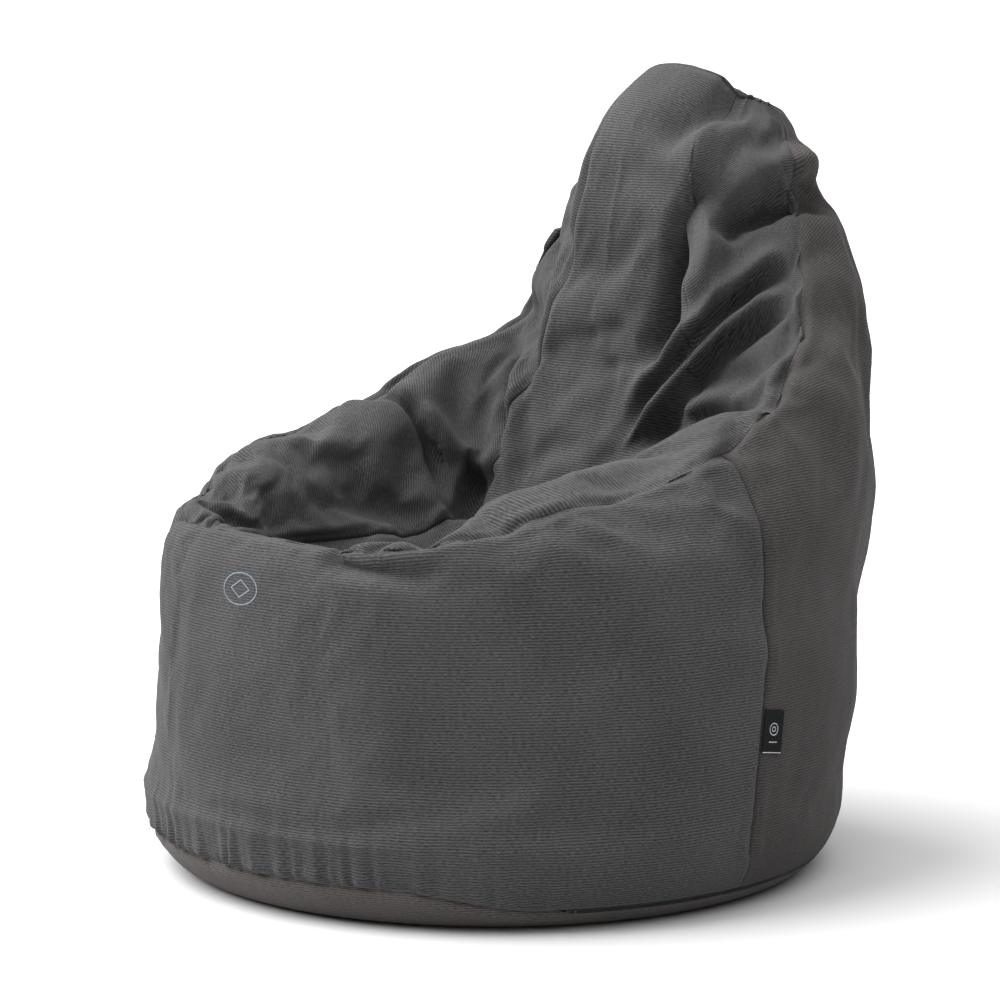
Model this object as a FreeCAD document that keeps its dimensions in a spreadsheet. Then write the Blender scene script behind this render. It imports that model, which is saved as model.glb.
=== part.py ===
"""Bean bag armchair: a sewn fabric cover over a zipped inner bag of foam beads.

Millimetres, +Z up, the chair faces -Y, and the origin is the centre of the round base, where it rests on the floor.
The soft form is two surfaces that meet along the crest seam, which runs round the front rim, the arms and the
head. The wall is a ring of upright curves from the floor to the crest. The strip runs from the front rim down over
the seat and up the backrest to the head. Every fabric panel is a patch of one of them, with its two faces at two
depths along the surface's normal.
"""

import FreeCAD, Part
import math
import os
import Sketcher

from FreeCAD import Placement, Rotation, Vector

doc = FreeCAD.newDocument("bean_bag_chair")

# ---------------------------------------------------------------------------------------------------------------
# Driving dimensions
# ---------------------------------------------------------------------------------------------------------------

SIZES = [
    ("base_diameter", 776, "widest part of the round base"),
    ("overall_height", 866, "floor to the top of the head"),
    ("floor_share", 0.85, "flat contact patch, as a share of the base's radius"),
    ("belly_height", 90, "height of the base's widest part"),
    ("seat_panel_share", 0.62, "width of the seat panel, as a share of the strip's"),
    ("cover_thickness", 1.5, "woven cover fabric with its backing"),
    ("seam_gap", 0.8, "gap between two panels at a plain seam"),
    ("seam_height_front", 45, "height of the base seam round the front and right side"),
    ("zip_height", 22, "height of the base seam where the zip is"),
    ("zip_start_angle", 58, "where the zip begins, from the front, towards the left side"),
    ("zip_end_angle", 172, "where the zip ends, at the back"),
    ("hem_gap", 12, "opening between the two hems along the zip"),
    ("tape_width", 13, "one zip tape, from the coils to its edge"),
    ("tape_thickness", 0.6, "zip tape"),
    ("layer_gap", 0.3, "gap between the cover, the tapes and the coils"),
    ("coil_width", 2.6, "one of the two coils"),
    ("coil_height", 1.7, "coil, from its tape outwards"),
    ("coil_gap", 1.2, "gap between the two coils, where the slider's neck runs"),
    ("slider_length", 13, "zip slider, along the zip"),
    ("slider_plate", 1.2, "thickness of the slider's plates"),
    ("slider_width", 9, "zip slider, across the zip"),
    ("slider_clearance", 0.4, "running gap between the slider and the coils and tapes"),
    ("neck_width", 0.5, "slider's neck, between the coils"),
    ("stop_length", 3, "metal stop at each end of the zip"),
    ("lug_thickness", 1.2, "each of the two lugs that hold the pull's pin"),
    ("pin_radius", 0.7, "pin that the pull swings on"),
    ("pin_clearance", 0.25, "running gap round the pin and beside the pull"),
    ("eye_wall", 0.7, "wall round the pull's eye"),
    ("pull_length", 20, "zip pull, from the pin to its end"),
    ("pull_width", 5, "zip pull"),
    ("pull_thickness", 1.8, "zip pull"),
    ("flag_width", 30, "folded woven label, from the seam to its fold"),
    ("flag_height", 46, "folded woven label"),
    ("flag_thickness", 0.9, "folded woven label, both layers"),
    ("flag_gap", 0.35, "gap between the label and the back panel"),
    ("flag_middle_height", 172, "height of the label's middle"),
    ("motif_width", 52, "embroidered motif on the front"),
    ("motif_height", 36, "embroidered motif on the front"),
    ("motif_middle_height", 340, "height of the motif's middle"),
    ("thread_height", 0.5, "embroidery, proud of the cover"),
    ("care_label_width", 30, "care label inside the cover"),
    ("care_label_length", 60, "care label inside the cover"),
    ("care_label_thickness", 0.3, "care label inside the cover"),
    ("liner_slack", 4, "room between the cover and the inner bag, on the walls"),
    ("liner_rest_gap", 0.7, "gap between the base panel and the inner bag lying on it"),
    ("liner_thickness", 0.6, "inner bag's fabric"),
    ("liner_zip_start_angle", 190, "where the inner bag's zip begins"),
    ("liner_zip_end_angle", 250, "where the inner bag's zip ends"),
    ("liner_hem_gap", 10, "opening between the inner bag's hems along its zip"),
    ("liner_slider_length", 9, "inner bag's zip slider, along the zip"),
    ("liner_slider_width", 7, "inner bag's zip slider, across the zip"),
    ("fill_gap", 3.2, "gap between the inner bag and the beads on the walls, where its zip runs"),
    ("fill_rest_gap", 0.7, "gap between the inner bag's base and the beads"),
    ("crest_shortfall", 10, "how far the beads stop short of the crest seam's corner"),
]

DERIVED = [
    ("cover_zip_depth", "=cover_thickness + layer_gap", "cover's outer face to its zip tapes"),
    (
        "liner_zip_depth",
        "=cover_thickness + liner_slack + liner_thickness + layer_gap",
        "cover's outer face to the inner bag's zip tapes",
    ),
]

sheet = doc.addObject("Spreadsheet::Sheet", "sizes")
for row, (alias, value, note) in enumerate(SIZES + DERIVED, start=1):
    sheet.set(f"A{row}", alias)
    sheet.set(f"B{row}", str(value))
    sheet.setAlias(f"B{row}", alias)
    sheet.set(f"C{row}", note)
doc.recompute()


def size(alias):
    return float(sheet.get(alias))


def value_of(expression):
    return float(sheet.evalExpression(expression))


# ---------------------------------------------------------------------------------------------------------------
# The soft form
# ---------------------------------------------------------------------------------------------------------------

# Stations along the crest seam on the left side, from the front corner along the arm and up the side of the head.
# Each has the base's angle below it, the crest seam's point, the shoulder point that pulls the wall towards the
# seam, and the strip's middle line (y, z), all for a chair of the nominal diameter and height.
NOMINAL_DIAMETER, NOMINAL_HEIGHT = 776, 866
STATIONS = [
    (27, (165, -316, 391), (185, -364, 385), (-338, 392)),
    (38, (207, -280, 399), (238, -318, 390), (-300, 379)),
    (50, (241, -226, 411), (285, -256, 391), (-250, 360)),
    (68, (276, -110, 435), (360, -126, 402), (-170, 334)),
    (89, (292, 48, 470), (390, 45, 428), (-40, 318)),
    (103, (280, 138, 516), (368, 165, 482), (60, 326)),
    (115, (256, 200, 558), (340, 262, 532), (130, 374)),
    (126, (226, 250, 606), (303, 340, 584), (170, 454)),
    (137, (190, 284, 664), (255, 418, 636), (190, 545)),
    (147, (154, 312, 722), (210, 432, 692), (206, 638)),
    (157, (126, 330, 782), (170, 424, 742), (226, 733)),
    (162, (112, 335, 815), (150, 415, 780), (250, 806)),
    (168, (92, 335, 842), (125, 412, 812), (322, 866)),
]
SIDE_SEAM_STATION = 4
FRONT_RIM_MIDDLE = STATIONS[0][3]
HEAD_MIDDLE = STATIONS[-1][3]
EDGE_BLEND = 0.15  # share of a surface next to the crest seam over which its normal turns to the seam's own
STEP = 1e-3  # small step for slopes

belly_radius = size("base_diameter") / 2
belly_height = size("belly_height")
scale_across = size("base_diameter") / NOMINAL_DIAMETER
scale_up = size("overall_height") / NOMINAL_HEIGHT


def scaled(x, y, z):
    return Vector(x * scale_across, y * scale_across, z * scale_up)


def mirror(v):
    return Vector(-v.x, v.y, v.z)


def smooth(x):
    x = min(1.0, max(0.0, x))
    return x * x * (3 - 2 * x)


def mix(one, two, share):
    return one * (1 - share) + two * share


def spline(knots, values, at):
    """A smooth curve through values, which are vectors or numbers, at uneven knots."""
    last = len(knots) - 1
    i = next((j for j in range(last) if at < knots[j + 1]), last - 1)

    def slope(j):
        if j == 0:
            return (values[1] - values[0]) * (1 / (knots[1] - knots[0]))
        if j == last:
            return (values[last] - values[last - 1]) * (1 / (knots[last] - knots[last - 1]))
        before, after = knots[j] - knots[j - 1], knots[j + 1] - knots[j]
        left = (values[j] - values[j - 1]) * (1 / before)
        right = (values[j + 1] - values[j]) * (1 / after)
        return mix(left, right, before / (before + after))

    gap = knots[i + 1] - knots[i]
    s = (at - knots[i]) / gap
    return (
        values[i] * (2 * s**3 - 3 * s**2 + 1)
        + slope(i) * (gap * (s**3 - 2 * s**2 + s))
        + values[i + 1] * (3 * s**2 - 2 * s**3)
        + slope(i + 1) * (gap * (s**3 - s**2))
    )


def rim(corner, middle, w):
    """The crest seam across the front or the head: a parabola, w from 0 in the middle to 1 at the corner."""
    return scaled(
        corner[0] * w,
        middle[0] + (corner[1] - middle[0]) * w * w,
        middle[1] + (corner[2] - middle[1]) * w * w,
    )


# The wall's columns on the left side, from the front's middle to the back's: base angle, crest and shoulder.
columns = []
for w in (0.0, 0.5):
    point = rim(STATIONS[0][1], FRONT_RIM_MIDDLE, w)
    columns.append((STATIONS[0][0] * w, point, point + scaled(20 * w, -52 + 4 * w, -6)))
columns += [(angle, scaled(*seam), scaled(*shoulder)) for angle, seam, shoulder, _ in STATIONS]
for w in (0.5, 0.0):
    point = rim(STATIONS[-1][1], HEAD_MIDDLE, w)
    columns.append((180 - (180 - STATIONS[-1][0]) * w, point, point + scaled(32 * w, 76, -40)))

# u is the length along the crest seam from the front's middle, negative on the right side.
knots = [0.0]
for one, two in zip(columns, columns[1:]):
    knots.append(knots[-1] + (two[1] - one[1]).Length)
HALF = knots[-1]
STATION_KNOTS = knots[2:-2]
FIRST, LAST = STATION_KNOTS[0], STATION_KNOTS[-1]
SIDE_SEAM = STATION_KNOTS[SIDE_SEAM_STATION]
# Two mirrored columns past each end keep the wall smooth across the middle plane.
wide_knots = [-knots[2], -knots[1], *knots, 2 * HALF - knots[-2], 2 * HALF - knots[-3]]
ANGLES = [-columns[2][0], -columns[1][0], *(c[0] for c in columns), 360 - columns[-2][0], 360 - columns[-3][0]]
shoulders = [c[2] for c in columns]
SHOULDERS = [mirror(shoulders[2]), mirror(shoulders[1]), *shoulders, mirror(shoulders[-2]), mirror(shoulders[-3])]


def wrapped(u):
    """u brought into -HALF to HALF."""
    return u - 2 * HALF if u > HALF else u


def crest(u):
    """The crest seam's point at u."""
    a = abs(u)
    if a < FIRST:
        point = rim(STATIONS[0][1], FRONT_RIM_MIDDLE, a / FIRST)
    elif a > LAST:
        point = rim(STATIONS[-1][1], HEAD_MIDDLE, (HALF - a) / (HALF - LAST))
    else:
        point = spline(STATION_KNOTS, [scaled(*s[1]) for s in STATIONS], a)
    return mirror(point) if u < 0 else point


def base_angle(u):
    """The base's angle below the crest's point at u, in degrees from the front towards the left side."""
    return math.copysign(spline(wide_knots, ANGLES, abs(u)), u)


def u_at_angle(angle):
    """The u whose base angle is the given one, 0 to 360."""
    if angle > 180:
        return 2 * HALF - u_at_angle(360 - angle)
    low, high = 0.0, HALF
    for _ in range(50):
        middle = (low + high) / 2
        low, high = (middle, high) if base_angle(middle) < angle else (low, middle)
    return low


# v runs up the wall: 0 at the edge of the flat contact patch, BELLY at the widest part, 1 at the crest seam.
BELLY = 0.2
foot_reach = belly_radius * (1 - size("floor_share"))


def turn_at_height(height):
    """The foot is a quarter ellipse; turn is its angle, 0 at the floor and a right angle at the widest part."""
    return math.acos(1 - height / belly_height)


def foot_length(turn):
    """Length along the foot's curve per radian of turn."""
    return math.hypot(foot_reach * math.cos(turn), belly_height * math.sin(turn))


def foot(turn):
    """The foot's radius and height."""
    return belly_radius - foot_reach * (1 - math.sin(turn)), belly_height * (1 - math.cos(turn))


def foot_tilt(turn):
    """How far the foot's outward normal points below the horizontal, in degrees."""
    return math.degrees(math.atan2(foot_reach * math.cos(turn), belly_height * math.sin(turn)))


def radial(angle):
    return Vector(math.sin(math.radians(angle)), -math.cos(math.radians(angle)), 0)


def wall(u, v):
    out = radial(base_angle(u))
    if v <= BELLY:
        radius, height = foot(v / BELLY * math.pi / 2)
        return out * radius + Vector(0, 0, height)
    end = crest(u)
    shoulder = spline(wide_knots, SHOULDERS, abs(u))
    shoulder = mirror(shoulder) if u < 0 else shoulder
    start = out * belly_radius + Vector(0, 0, belly_height)
    leaning_back = Vector(0, 20 * scale_across, 0)
    lifted = out * belly_radius + leaning_back + Vector(0, 0, mix(start.z, end.z, 1 / 3))
    s = (v - BELLY) / (1 - BELLY)
    return start * (1 - s) ** 3 + lifted * (3 * s * (1 - s) ** 2) + shoulder * (3 * s**2 * (1 - s)) + end * s**3


def strip(w, t):
    """The seat strip: w from -1 to 1 across, t along the crest seam from the front corner to the head's."""
    edge = crest(t)
    middle = spline(STATION_KNOTS, [scaled(0, *s[3]) for s in STATIONS], t)
    along = (t - FIRST) / (LAST - FIRST)
    trough = 0.5 + 0.1 * smooth((along - 0.4) / 0.3)
    dished = smooth(along / 0.12) * smooth((1 - along) / 0.06)
    rise = mix(w * w, smooth((abs(w) - trough) / (1 - trough)), dished)
    return Vector(edge.x * w, mix(middle.y, edge.y, rise), mix(middle.z, edge.z, rise))


def wall_normal(u, v):
    if v <= BELLY:
        tilt = math.radians(foot_tilt(v / BELLY * math.pi / 2))
        return radial(base_angle(u)) * math.cos(tilt) - Vector(0, 0, math.sin(tilt))
    up = wall(u, min(1.0, v + STEP)) - wall(u, v - STEP)
    along = wall(u + 1, v) - wall(u - 1, v)
    return along.cross(up).normalize()


def strip_normal(w, t):
    w = max(-1 + STEP, min(1 - STEP, w))
    t = max(FIRST + 1, min(LAST - 1, t))
    across = strip(w + STEP, t) - strip(w - STEP, t)
    along = strip(w, t + 1) - strip(w, t - 1)
    return across.cross(along).normalize()


def crest_normal(u):
    """The normal that the wall and the strip share on the crest seam, halfway between their own."""
    side = -1 if u < 0 else 1
    a = abs(u)
    w = a / FIRST if a < FIRST else (HALF - a) / (HALF - LAST) if a > LAST else 1
    return (wall_normal(u, 1.0) + strip_normal(side * w, max(FIRST, min(LAST, a)))).normalize()


def deep_wall(u, v, depth):
    """The wall's point, moved inwards by depth."""
    u = wrapped(u)
    near = smooth((v - 1 + EDGE_BLEND) / EDGE_BLEND)
    normal = wall_normal(u, v)
    if near > 0:
        normal = mix(normal, crest_normal(u), near).normalize()
    return wall(u, v) - normal * depth


def deep_strip(w, t, depth):
    """The strip's point, moved inwards by depth."""
    side = -1 if w < 0 else 1
    along = (t - FIRST) / (LAST - FIRST)
    normal = strip_normal(w, t)
    to_front = smooth(1 - along / 0.06)
    to_head = smooth(1 - (1 - along) / 0.06)
    to_side = smooth((abs(w) - 1 + EDGE_BLEND) / EDGE_BLEND)
    if 0 < to_side and 0 < along < 1:
        normal = mix(normal, crest_normal(side * t), to_side)
    if to_front > 0 and abs(w) < 1:
        normal = mix(normal, crest_normal(w * FIRST), to_front)
    if to_head > 0 and abs(w) < 1:
        normal = mix(normal, crest_normal(side * (HALF - (HALF - LAST) * abs(w))), to_head)
    if along in (0, 1) and abs(w) == 1:
        normal = crest_normal(side * t)
    return strip(w, t) - normal.normalize() * depth


# ---------------------------------------------------------------------------------------------------------------
# Making pieces
# ---------------------------------------------------------------------------------------------------------------

pieces = []


def spread(first, last, spacing):
    """Even values from first to last, about spacing apart."""
    count = max(4, round(abs(last - first) / spacing))
    return [first + (last - first) * i / count for i in range(count + 1)]


def poles_through(points):
    """The poles of the even cubic B-spline that passes through the points and ends straight."""
    last = len(points) - 1
    # P[i-1] + 4 P[i] + P[i+1] = 6 D[i] between the ends, where P = D, solved from one end and back.
    factors, sums = [0.0], [points[0]]
    for point in points[1:-1]:
        pivot = 1 / (4 - factors[-1])
        sums.append((point * 6 - sums[-1]) * pivot)
        factors.append(pivot)
    inner = [points[last]]
    for factor, total in zip(reversed(factors[1:]), reversed(sums[1:])):
        inner.append(total - inner[-1] * factor)
    inner = [points[0], *reversed(inner)]
    return [
        inner[0],
        (inner[0] * 2 + inner[1]) * (1 / 3),
        *inner[1:-1],
        (inner[-2] + inner[-1] * 2) * (1 / 3),
        inner[-1],
    ]


def surface_through(grid):
    """The cubic B-spline surface through a grid of points."""
    rows = [poles_through(row) for row in grid]
    poles = [list(row) for row in zip(*(poles_through(list(column)) for column in zip(*rows)))]
    counts = (len(grid), len(grid[0]))
    knots_each = [list(range(count)) for count in counts]
    repeats = [[4] + [1] * (count - 2) + [4] for count in counts]
    surface = Part.BSplineSurface()
    surface.buildFromPolesMultsKnots(poles, repeats[0], repeats[1], knots_each[0], knots_each[1], False, False, 3, 3)
    return surface


def thick_patch(at, xs, ys, outer, inner):
    """A solid between two depths of a surface, whose point at a place and depth is at(x, y, depth)."""
    surfaces = [surface_through([[at(x, y, depth) for y in ys] for x in xs]) for depth in (outer, inner)]
    faces = [surface.toShape() for surface in surfaces]
    for iso, last in (("uIso", len(xs) - 1), ("vIso", len(ys) - 1)):
        for end in (0, last):
            rails = [getattr(surface, iso)(end).toShape() for surface in surfaces]
            faces.append(Part.makeRuledSurface(*rails))
    return closed_solid(faces)


def closed_solid(faces):
    shell = Part.Shell(faces)
    shell.sewShape()
    solid = Part.Solid(shell)
    if solid.Volume < 0:
        solid.reverse()
    return solid


def add_shape(label, shape):
    feature = doc.addObject("Part::Feature", label)
    feature.Shape = shape
    feature.Placement = Placement()
    feature.Label = label
    pieces.append(feature)
    return feature


# ---------------------------------------------------------------------------------------------------------------
# Base seams: where the walls meet the base, and the two zips in them
# ---------------------------------------------------------------------------------------------------------------

zip_turn = turn_at_height(size("zip_height"))
high_seam_turn = turn_at_height(size("seam_height_front"))
SEAM_DROP = 25  # degrees over which the base seam comes down to the zip, on each side of it
LOW_SEAM_TAIL = 5  # degrees that the base seam stays low past each end of the zip
HEM_EASE = 1  # degrees of full opening past each end of a zip
HEM_CLOSE = 4  # degrees over which the hems close up past each end of a zip
TAPE_TAIL = 1.2  # degrees that the tapes run on past each end of a zip
TAPE_ROWS = 4  # steps across a tape
TAPE_STEP = 11  # millimetres between the curves that a tape follows


def between(angle, start, end, fade):
    """1 from start to end, falling to 0 over fade on each side."""
    angle %= 360
    return smooth((angle - start) / fade + 1) * smooth((end - angle) / fade + 1)


def seam_turn(angle):
    start, end = size("zip_start_angle") - LOW_SEAM_TAIL, size("zip_end_angle") + LOW_SEAM_TAIL
    return mix(high_seam_turn, zip_turn, between(angle, start, end, SEAM_DROP))


def cover_half_gap(angle):
    opened = between(angle, size("zip_start_angle") - HEM_EASE, size("zip_end_angle") + HEM_EASE, HEM_CLOSE)
    return mix(size("seam_gap") / 2, size("hem_gap") / 2, opened)


def liner_half_gap(angle):
    start, end = size("liner_zip_start_angle") - HEM_EASE, size("liner_zip_end_angle") + HEM_EASE
    opened = between(angle, start, end, HEM_CLOSE)
    return mix(size("seam_gap") / 2, size("liner_hem_gap") / 2, opened)


def turn_to_v(turn):
    return turn / (math.pi / 2) * BELLY


# ---------------------------------------------------------------------------------------------------------------
# Depths of the layers, from the cover's outer face inwards
# ---------------------------------------------------------------------------------------------------------------

cover = size("cover_thickness")
liner_depth = cover + size("liner_slack")
liner_inner = liner_depth + size("liner_thickness")
fill_depth = liner_inner + size("fill_gap")
FLOOR_BLEND = math.radians(32)  # turn of the foot over which an inner layer lifts off the one that it rests on


def resting_depth(turn, on_floor, on_wall):
    """Depth of an inner layer, which lies on the base but stands off the walls."""
    return mix(on_floor, on_wall, smooth(turn / FLOOR_BLEND))


def v_to_turn(v):
    return min(math.pi / 2, v / BELLY * math.pi / 2)


# ---------------------------------------------------------------------------------------------------------------
# Fabric panels: the cover's and the inner bag's
# ---------------------------------------------------------------------------------------------------------------

ROW_COUNT = 22  # curves up a wall panel, closer together round the foot
seam = size("seam_gap") / 2


def wall_panel(first, last, half_gap, seam_at, outer, inner):
    """A wall panel from the base seam to the crest seam, between two places along the crest seam."""

    def at(u, share, depth):
        angle = base_angle(wrapped(u)) % 360
        low = turn_to_v(seam_at(angle) + half_gap(angle) / foot_length(seam_at(angle)))
        high = 1 - seam / (wall(wrapped(u), 1.0) - wall(wrapped(u), 0.9)).Length * 0.1
        return deep_wall(u, mix(low, high, share), depth)

    rows = [(i / ROW_COUNT) ** 1.5 for i in range(ROW_COUNT + 1)]
    return thick_patch(at, spread(first, last, 20), rows, outer, inner)


share = size("seat_panel_share")
share_gap = seam / crest(SIDE_SEAM).x
STRIP_SHARE_STEP = 0.055  # of the strip's half width, between the curves that a panel follows
STRIP_STEP = 26  # millimetres between them along the strip


def strip_panel(first, last, outer, inner):
    """A panel of the strip, from front to head, between two shares of its width."""
    # A share at the crest seam stops half the seam's gap short of it.
    first, last = max(-1 + share_gap, first), min(1 - share_gap, last)
    across = spread(first, last, STRIP_SHARE_STEP)
    return thick_patch(deep_strip, across, spread(FIRST + seam, LAST - seam, STRIP_STEP), outer, inner)


side, back_side = SIDE_SEAM - seam, SIDE_SEAM + seam
back = back_side, 2 * HALF - back_side

add_shape("front_panel", wall_panel(-side, side, cover_half_gap, seam_turn, 0, cover))
add_shape("back_panel", wall_panel(*back, cover_half_gap, seam_turn, 0, cover))
add_shape("left_arm_panel", strip_panel(share + share_gap, 1, 0, cover))
add_shape("right_arm_panel", strip_panel(-1, -share - share_gap, 0, cover))
add_shape("seat_back_panel", strip_panel(-share + share_gap, share - share_gap, 0, cover))


def liner_seam_turn(angle):
    return zip_turn


add_shape("liner_front_panel", wall_panel(-side, side, liner_half_gap, liner_seam_turn, liner_depth, liner_inner))
add_shape("liner_back_panel", wall_panel(*back, liner_half_gap, liner_seam_turn, liner_depth, liner_inner))
add_shape("liner_top_panel", strip_panel(-1, 1, liner_depth, liner_inner))


def round_base(top_turn, outer_at, inner_at):
    """A round base with a turned-up edge, between two depths; the depths are functions of the foot's turn."""

    def profile(depth_at):
        points = []
        for i in range(17):
            turn = top_turn * i / 16
            radius, height = foot(turn)
            tilt = math.radians(foot_tilt(turn))
            depth = depth_at(turn)
            points.append(Vector(radius - depth * math.cos(tilt), 0, height + depth * math.sin(tilt)))
        curve = Part.BSplineCurve()
        curve.interpolate(points)
        return points, curve.toShape()

    outer_points, outer_curve = profile(outer_at)
    inner_points, inner_curve = profile(inner_at)
    middle_low, middle_high = Vector(0, 0, outer_points[0].z), Vector(0, 0, inner_points[0].z)
    outline = Part.Wire(
        [
            Part.makeLine(middle_low, outer_points[0]),
            outer_curve,
            Part.makeLine(outer_points[-1], inner_points[-1]),
            inner_curve,
            Part.makeLine(inner_points[0], middle_high),
            Part.makeLine(middle_high, middle_low),
        ]
    )
    return Part.Face(outline).revolve(Vector(0, 0, 0), Vector(0, 0, 1), 360)


def trimmed_base(solid, half_gap, seam_at, depth):
    """The base cut off level just under the seam's gap, all the way round; depth is its outer face's."""
    rings = []
    for radius in (belly_radius * 0.7, belly_radius * 1.1):
        points = []
        for step in range(180):
            angle = step * 2
            edge = seam_at(angle) - half_gap(angle) / foot_length(seam_at(angle))
            lift = depth * math.sin(math.radians(foot_tilt(edge)))
            points.append(radial(angle) * radius + Vector(0, 0, foot(edge)[1] + lift))
        ring = Part.BSplineCurve()
        ring.interpolate(points, PeriodicFlag=True)
        rings.append(ring.toShape())
    above = Part.makeRuledSurface(rings[0], rings[1]).extrude(Vector(0, 0, belly_height * 2))
    return solid.cut(above)


over_seam = turn_at_height(min(belly_height * 0.9, size("seam_height_front") + size("hem_gap") * 1.5))
base = round_base(over_seam, lambda turn: 0, lambda turn: cover)
add_shape("base_panel", trimmed_base(base, cover_half_gap, seam_turn, 0))

liner_on_floor = cover + size("liner_rest_gap")
liner_base = round_base(
    over_seam,
    lambda turn: resting_depth(turn, liner_on_floor, liner_depth),
    lambda turn: resting_depth(turn, liner_on_floor + size("liner_thickness"), liner_inner),
)
add_shape("liner_base_panel", trimmed_base(liner_base, liner_half_gap, liner_seam_turn, liner_depth))


# ---------------------------------------------------------------------------------------------------------------
# Bead fill: one closed solid inside the inner bag
# ---------------------------------------------------------------------------------------------------------------

fill_on_floor = liner_on_floor + size("liner_thickness") + size("fill_rest_gap")
SEAT_MIDDLE = mix(FIRST, LAST, 0.42)  # place along the strip that the rings over the seat close in on
SMALLEST_RING = 0.06  # share of the strip left inside the smallest ring, which a flat cap closes


def fill_point(u, level):
    """Levels 0 to 1 run up the wall, and 1 to 2 are rings over the strip that close in on the seat's middle."""
    u = wrapped(u)
    depth = fill_depth + size("crest_shortfall") * smooth(1 - abs(level - 1) / 0.12)
    if level <= 1:
        return deep_wall(u, level, resting_depth(v_to_turn(level), fill_on_floor, depth))
    side, a = (-1 if u < 0 else 1), abs(u)
    w = side * (a / FIRST if a < FIRST else (HALF - a) / (HALF - LAST) if a > LAST else 1)
    t = max(FIRST, min(LAST, a))
    shrink = mix(1, SMALLEST_RING, level - 1)
    return deep_strip(w * shrink, mix(SEAT_MIDDLE, t, shrink), depth)


def bead_fill():
    wall_levels = [BELLY * i / 6 for i in range(6)] + [mix(BELLY, 1, i / 26) for i in range(27)]
    levels = wall_levels + [1 + i / 24 for i in range(1, 25)]
    around = spread(0, 2 * HALF, 24)
    grid = [[fill_point(u, level) for level in levels] for u in around[:-1]]
    cap_height = sum(column[-1].z for column in grid) / len(grid)
    for column in grid:
        column[-1] = Vector(column[-1].x, column[-1].y, cap_height)
    grid.append(grid[0])
    surface = surface_through(grid)
    caps = [Part.Face(Part.Wire(surface.vIso(end).toShape())) for end in (0, len(levels) - 1)]
    return closed_solid([surface.toShape(), *caps])


add_shape("bead_fill", bead_fill())


# ---------------------------------------------------------------------------------------------------------------
# Zips: each runs in a base seam, on a cone that follows the foot, and is drawn in the XZ plane and turned about Z
# ---------------------------------------------------------------------------------------------------------------

ZIP_TILT = foot_tilt(zip_turn)
ZIP_RADIUS, ZIP_LEVEL = foot(zip_turn)


def origin_part(body, role):
    return next(feature for feature in body.Origin.OriginFeatures if feature.Role == role)


def section_sketch(body, name):
    """A sketch across the zip: its X is outwards from the cover's outer face and its Y is up along the cover."""
    sketch = body.newObject("Sketcher::SketchObject", name)
    sketch.AttachmentSupport = [(origin_part(body, "XZ_Plane"), "")]
    sketch.MapMode = "FlatFace"
    sketch.AttachmentOffset = Placement(Vector(ZIP_RADIUS, ZIP_LEVEL, 0), Rotation(Vector(0, 0, 1), -ZIP_TILT))
    return sketch


def side_sketch(body, name):
    """A sketch along the zip: its X is outwards and its Y is along the zip."""
    sketch = body.newObject("Sketcher::SketchObject", name)
    sketch.AttachmentSupport = [(origin_part(body, "XY_Plane"), "")]
    sketch.MapMode = "FlatFace"
    up = Vector(math.sin(math.radians(ZIP_TILT)), 0, math.cos(math.radians(ZIP_TILT)))
    sketch.AttachmentOffset = Placement(Vector(ZIP_RADIUS, 0, ZIP_LEVEL), Rotation(Vector(0, 0, 1), up))
    return sketch


def datum(sketch, kind, first, second, expression):
    """A horizontal or vertical distance from the first point to the second, bound to an expression."""
    value = value_of(expression)
    if value < 0:
        first, second, value, expression = second, first, -value, f"-({expression})"
    index = sketch.addConstraint(Sketcher.Constraint(kind, *first, *second, value))
    sketch.setExpression(f"Constraints[{index}]", expression)


ORIGIN_POINT = (-1, 1)


def rectangle(sketch, x_low, x_high, y_low, y_high):
    """A rectangle between four expressions."""
    x0, x1, y0, y1 = (value_of(e) for e in (x_low, x_high, y_low, y_high))
    corners = [Vector(x0, y0, 0), Vector(x1, y0, 0), Vector(x1, y1, 0), Vector(x0, y1, 0)]
    first = sketch.GeometryCount
    for one, two in zip(corners, corners[1:] + corners[:1]):
        sketch.addGeometry(Part.LineSegment(one, two))
    for i in range(4):
        sketch.addConstraint(Sketcher.Constraint("Coincident", first + i, 2, first + (i + 1) % 4, 1))
        sketch.addConstraint(Sketcher.Constraint("Horizontal" if i % 2 == 0 else "Vertical", first + i))
    datum(sketch, "DistanceX", ORIGIN_POINT, (first, 1), x_low)
    datum(sketch, "DistanceX", ORIGIN_POINT, (first, 2), x_high)
    datum(sketch, "DistanceY", ORIGIN_POINT, (first, 1), y_low)
    datum(sketch, "DistanceY", ORIGIN_POINT, (first + 2, 1), y_high)


def turned_bar(body, name, box, degrees, both_ways=False):
    """A bar whose section is a rectangle of four expressions, turned about Z."""
    sketch = section_sketch(body, f"{name}_section")
    rectangle(sketch, *box)
    bar = body.newObject("PartDesign::Revolution", name)
    bar.Profile = sketch
    bar.ReferenceAxis = (origin_part(body, "Z_Axis"), [""])
    bar.Midplane = both_ways
    bar.Angle = degrees
    sketch.Visibility = False
    return bar


def add_body(label, angle):
    """A body drawn at base angle 90 and turned to its place."""
    body = doc.addObject("PartDesign::Body", label)
    body.Label = label
    body.Placement = Placement(Vector(0, 0, 0), Rotation(Vector(0, 0, 1), angle - 90))
    pieces.append(body)
    return body


def degrees_of(length):
    """The angle that a length along the zip takes up."""
    return math.degrees(length / ZIP_RADIUS)


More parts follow.
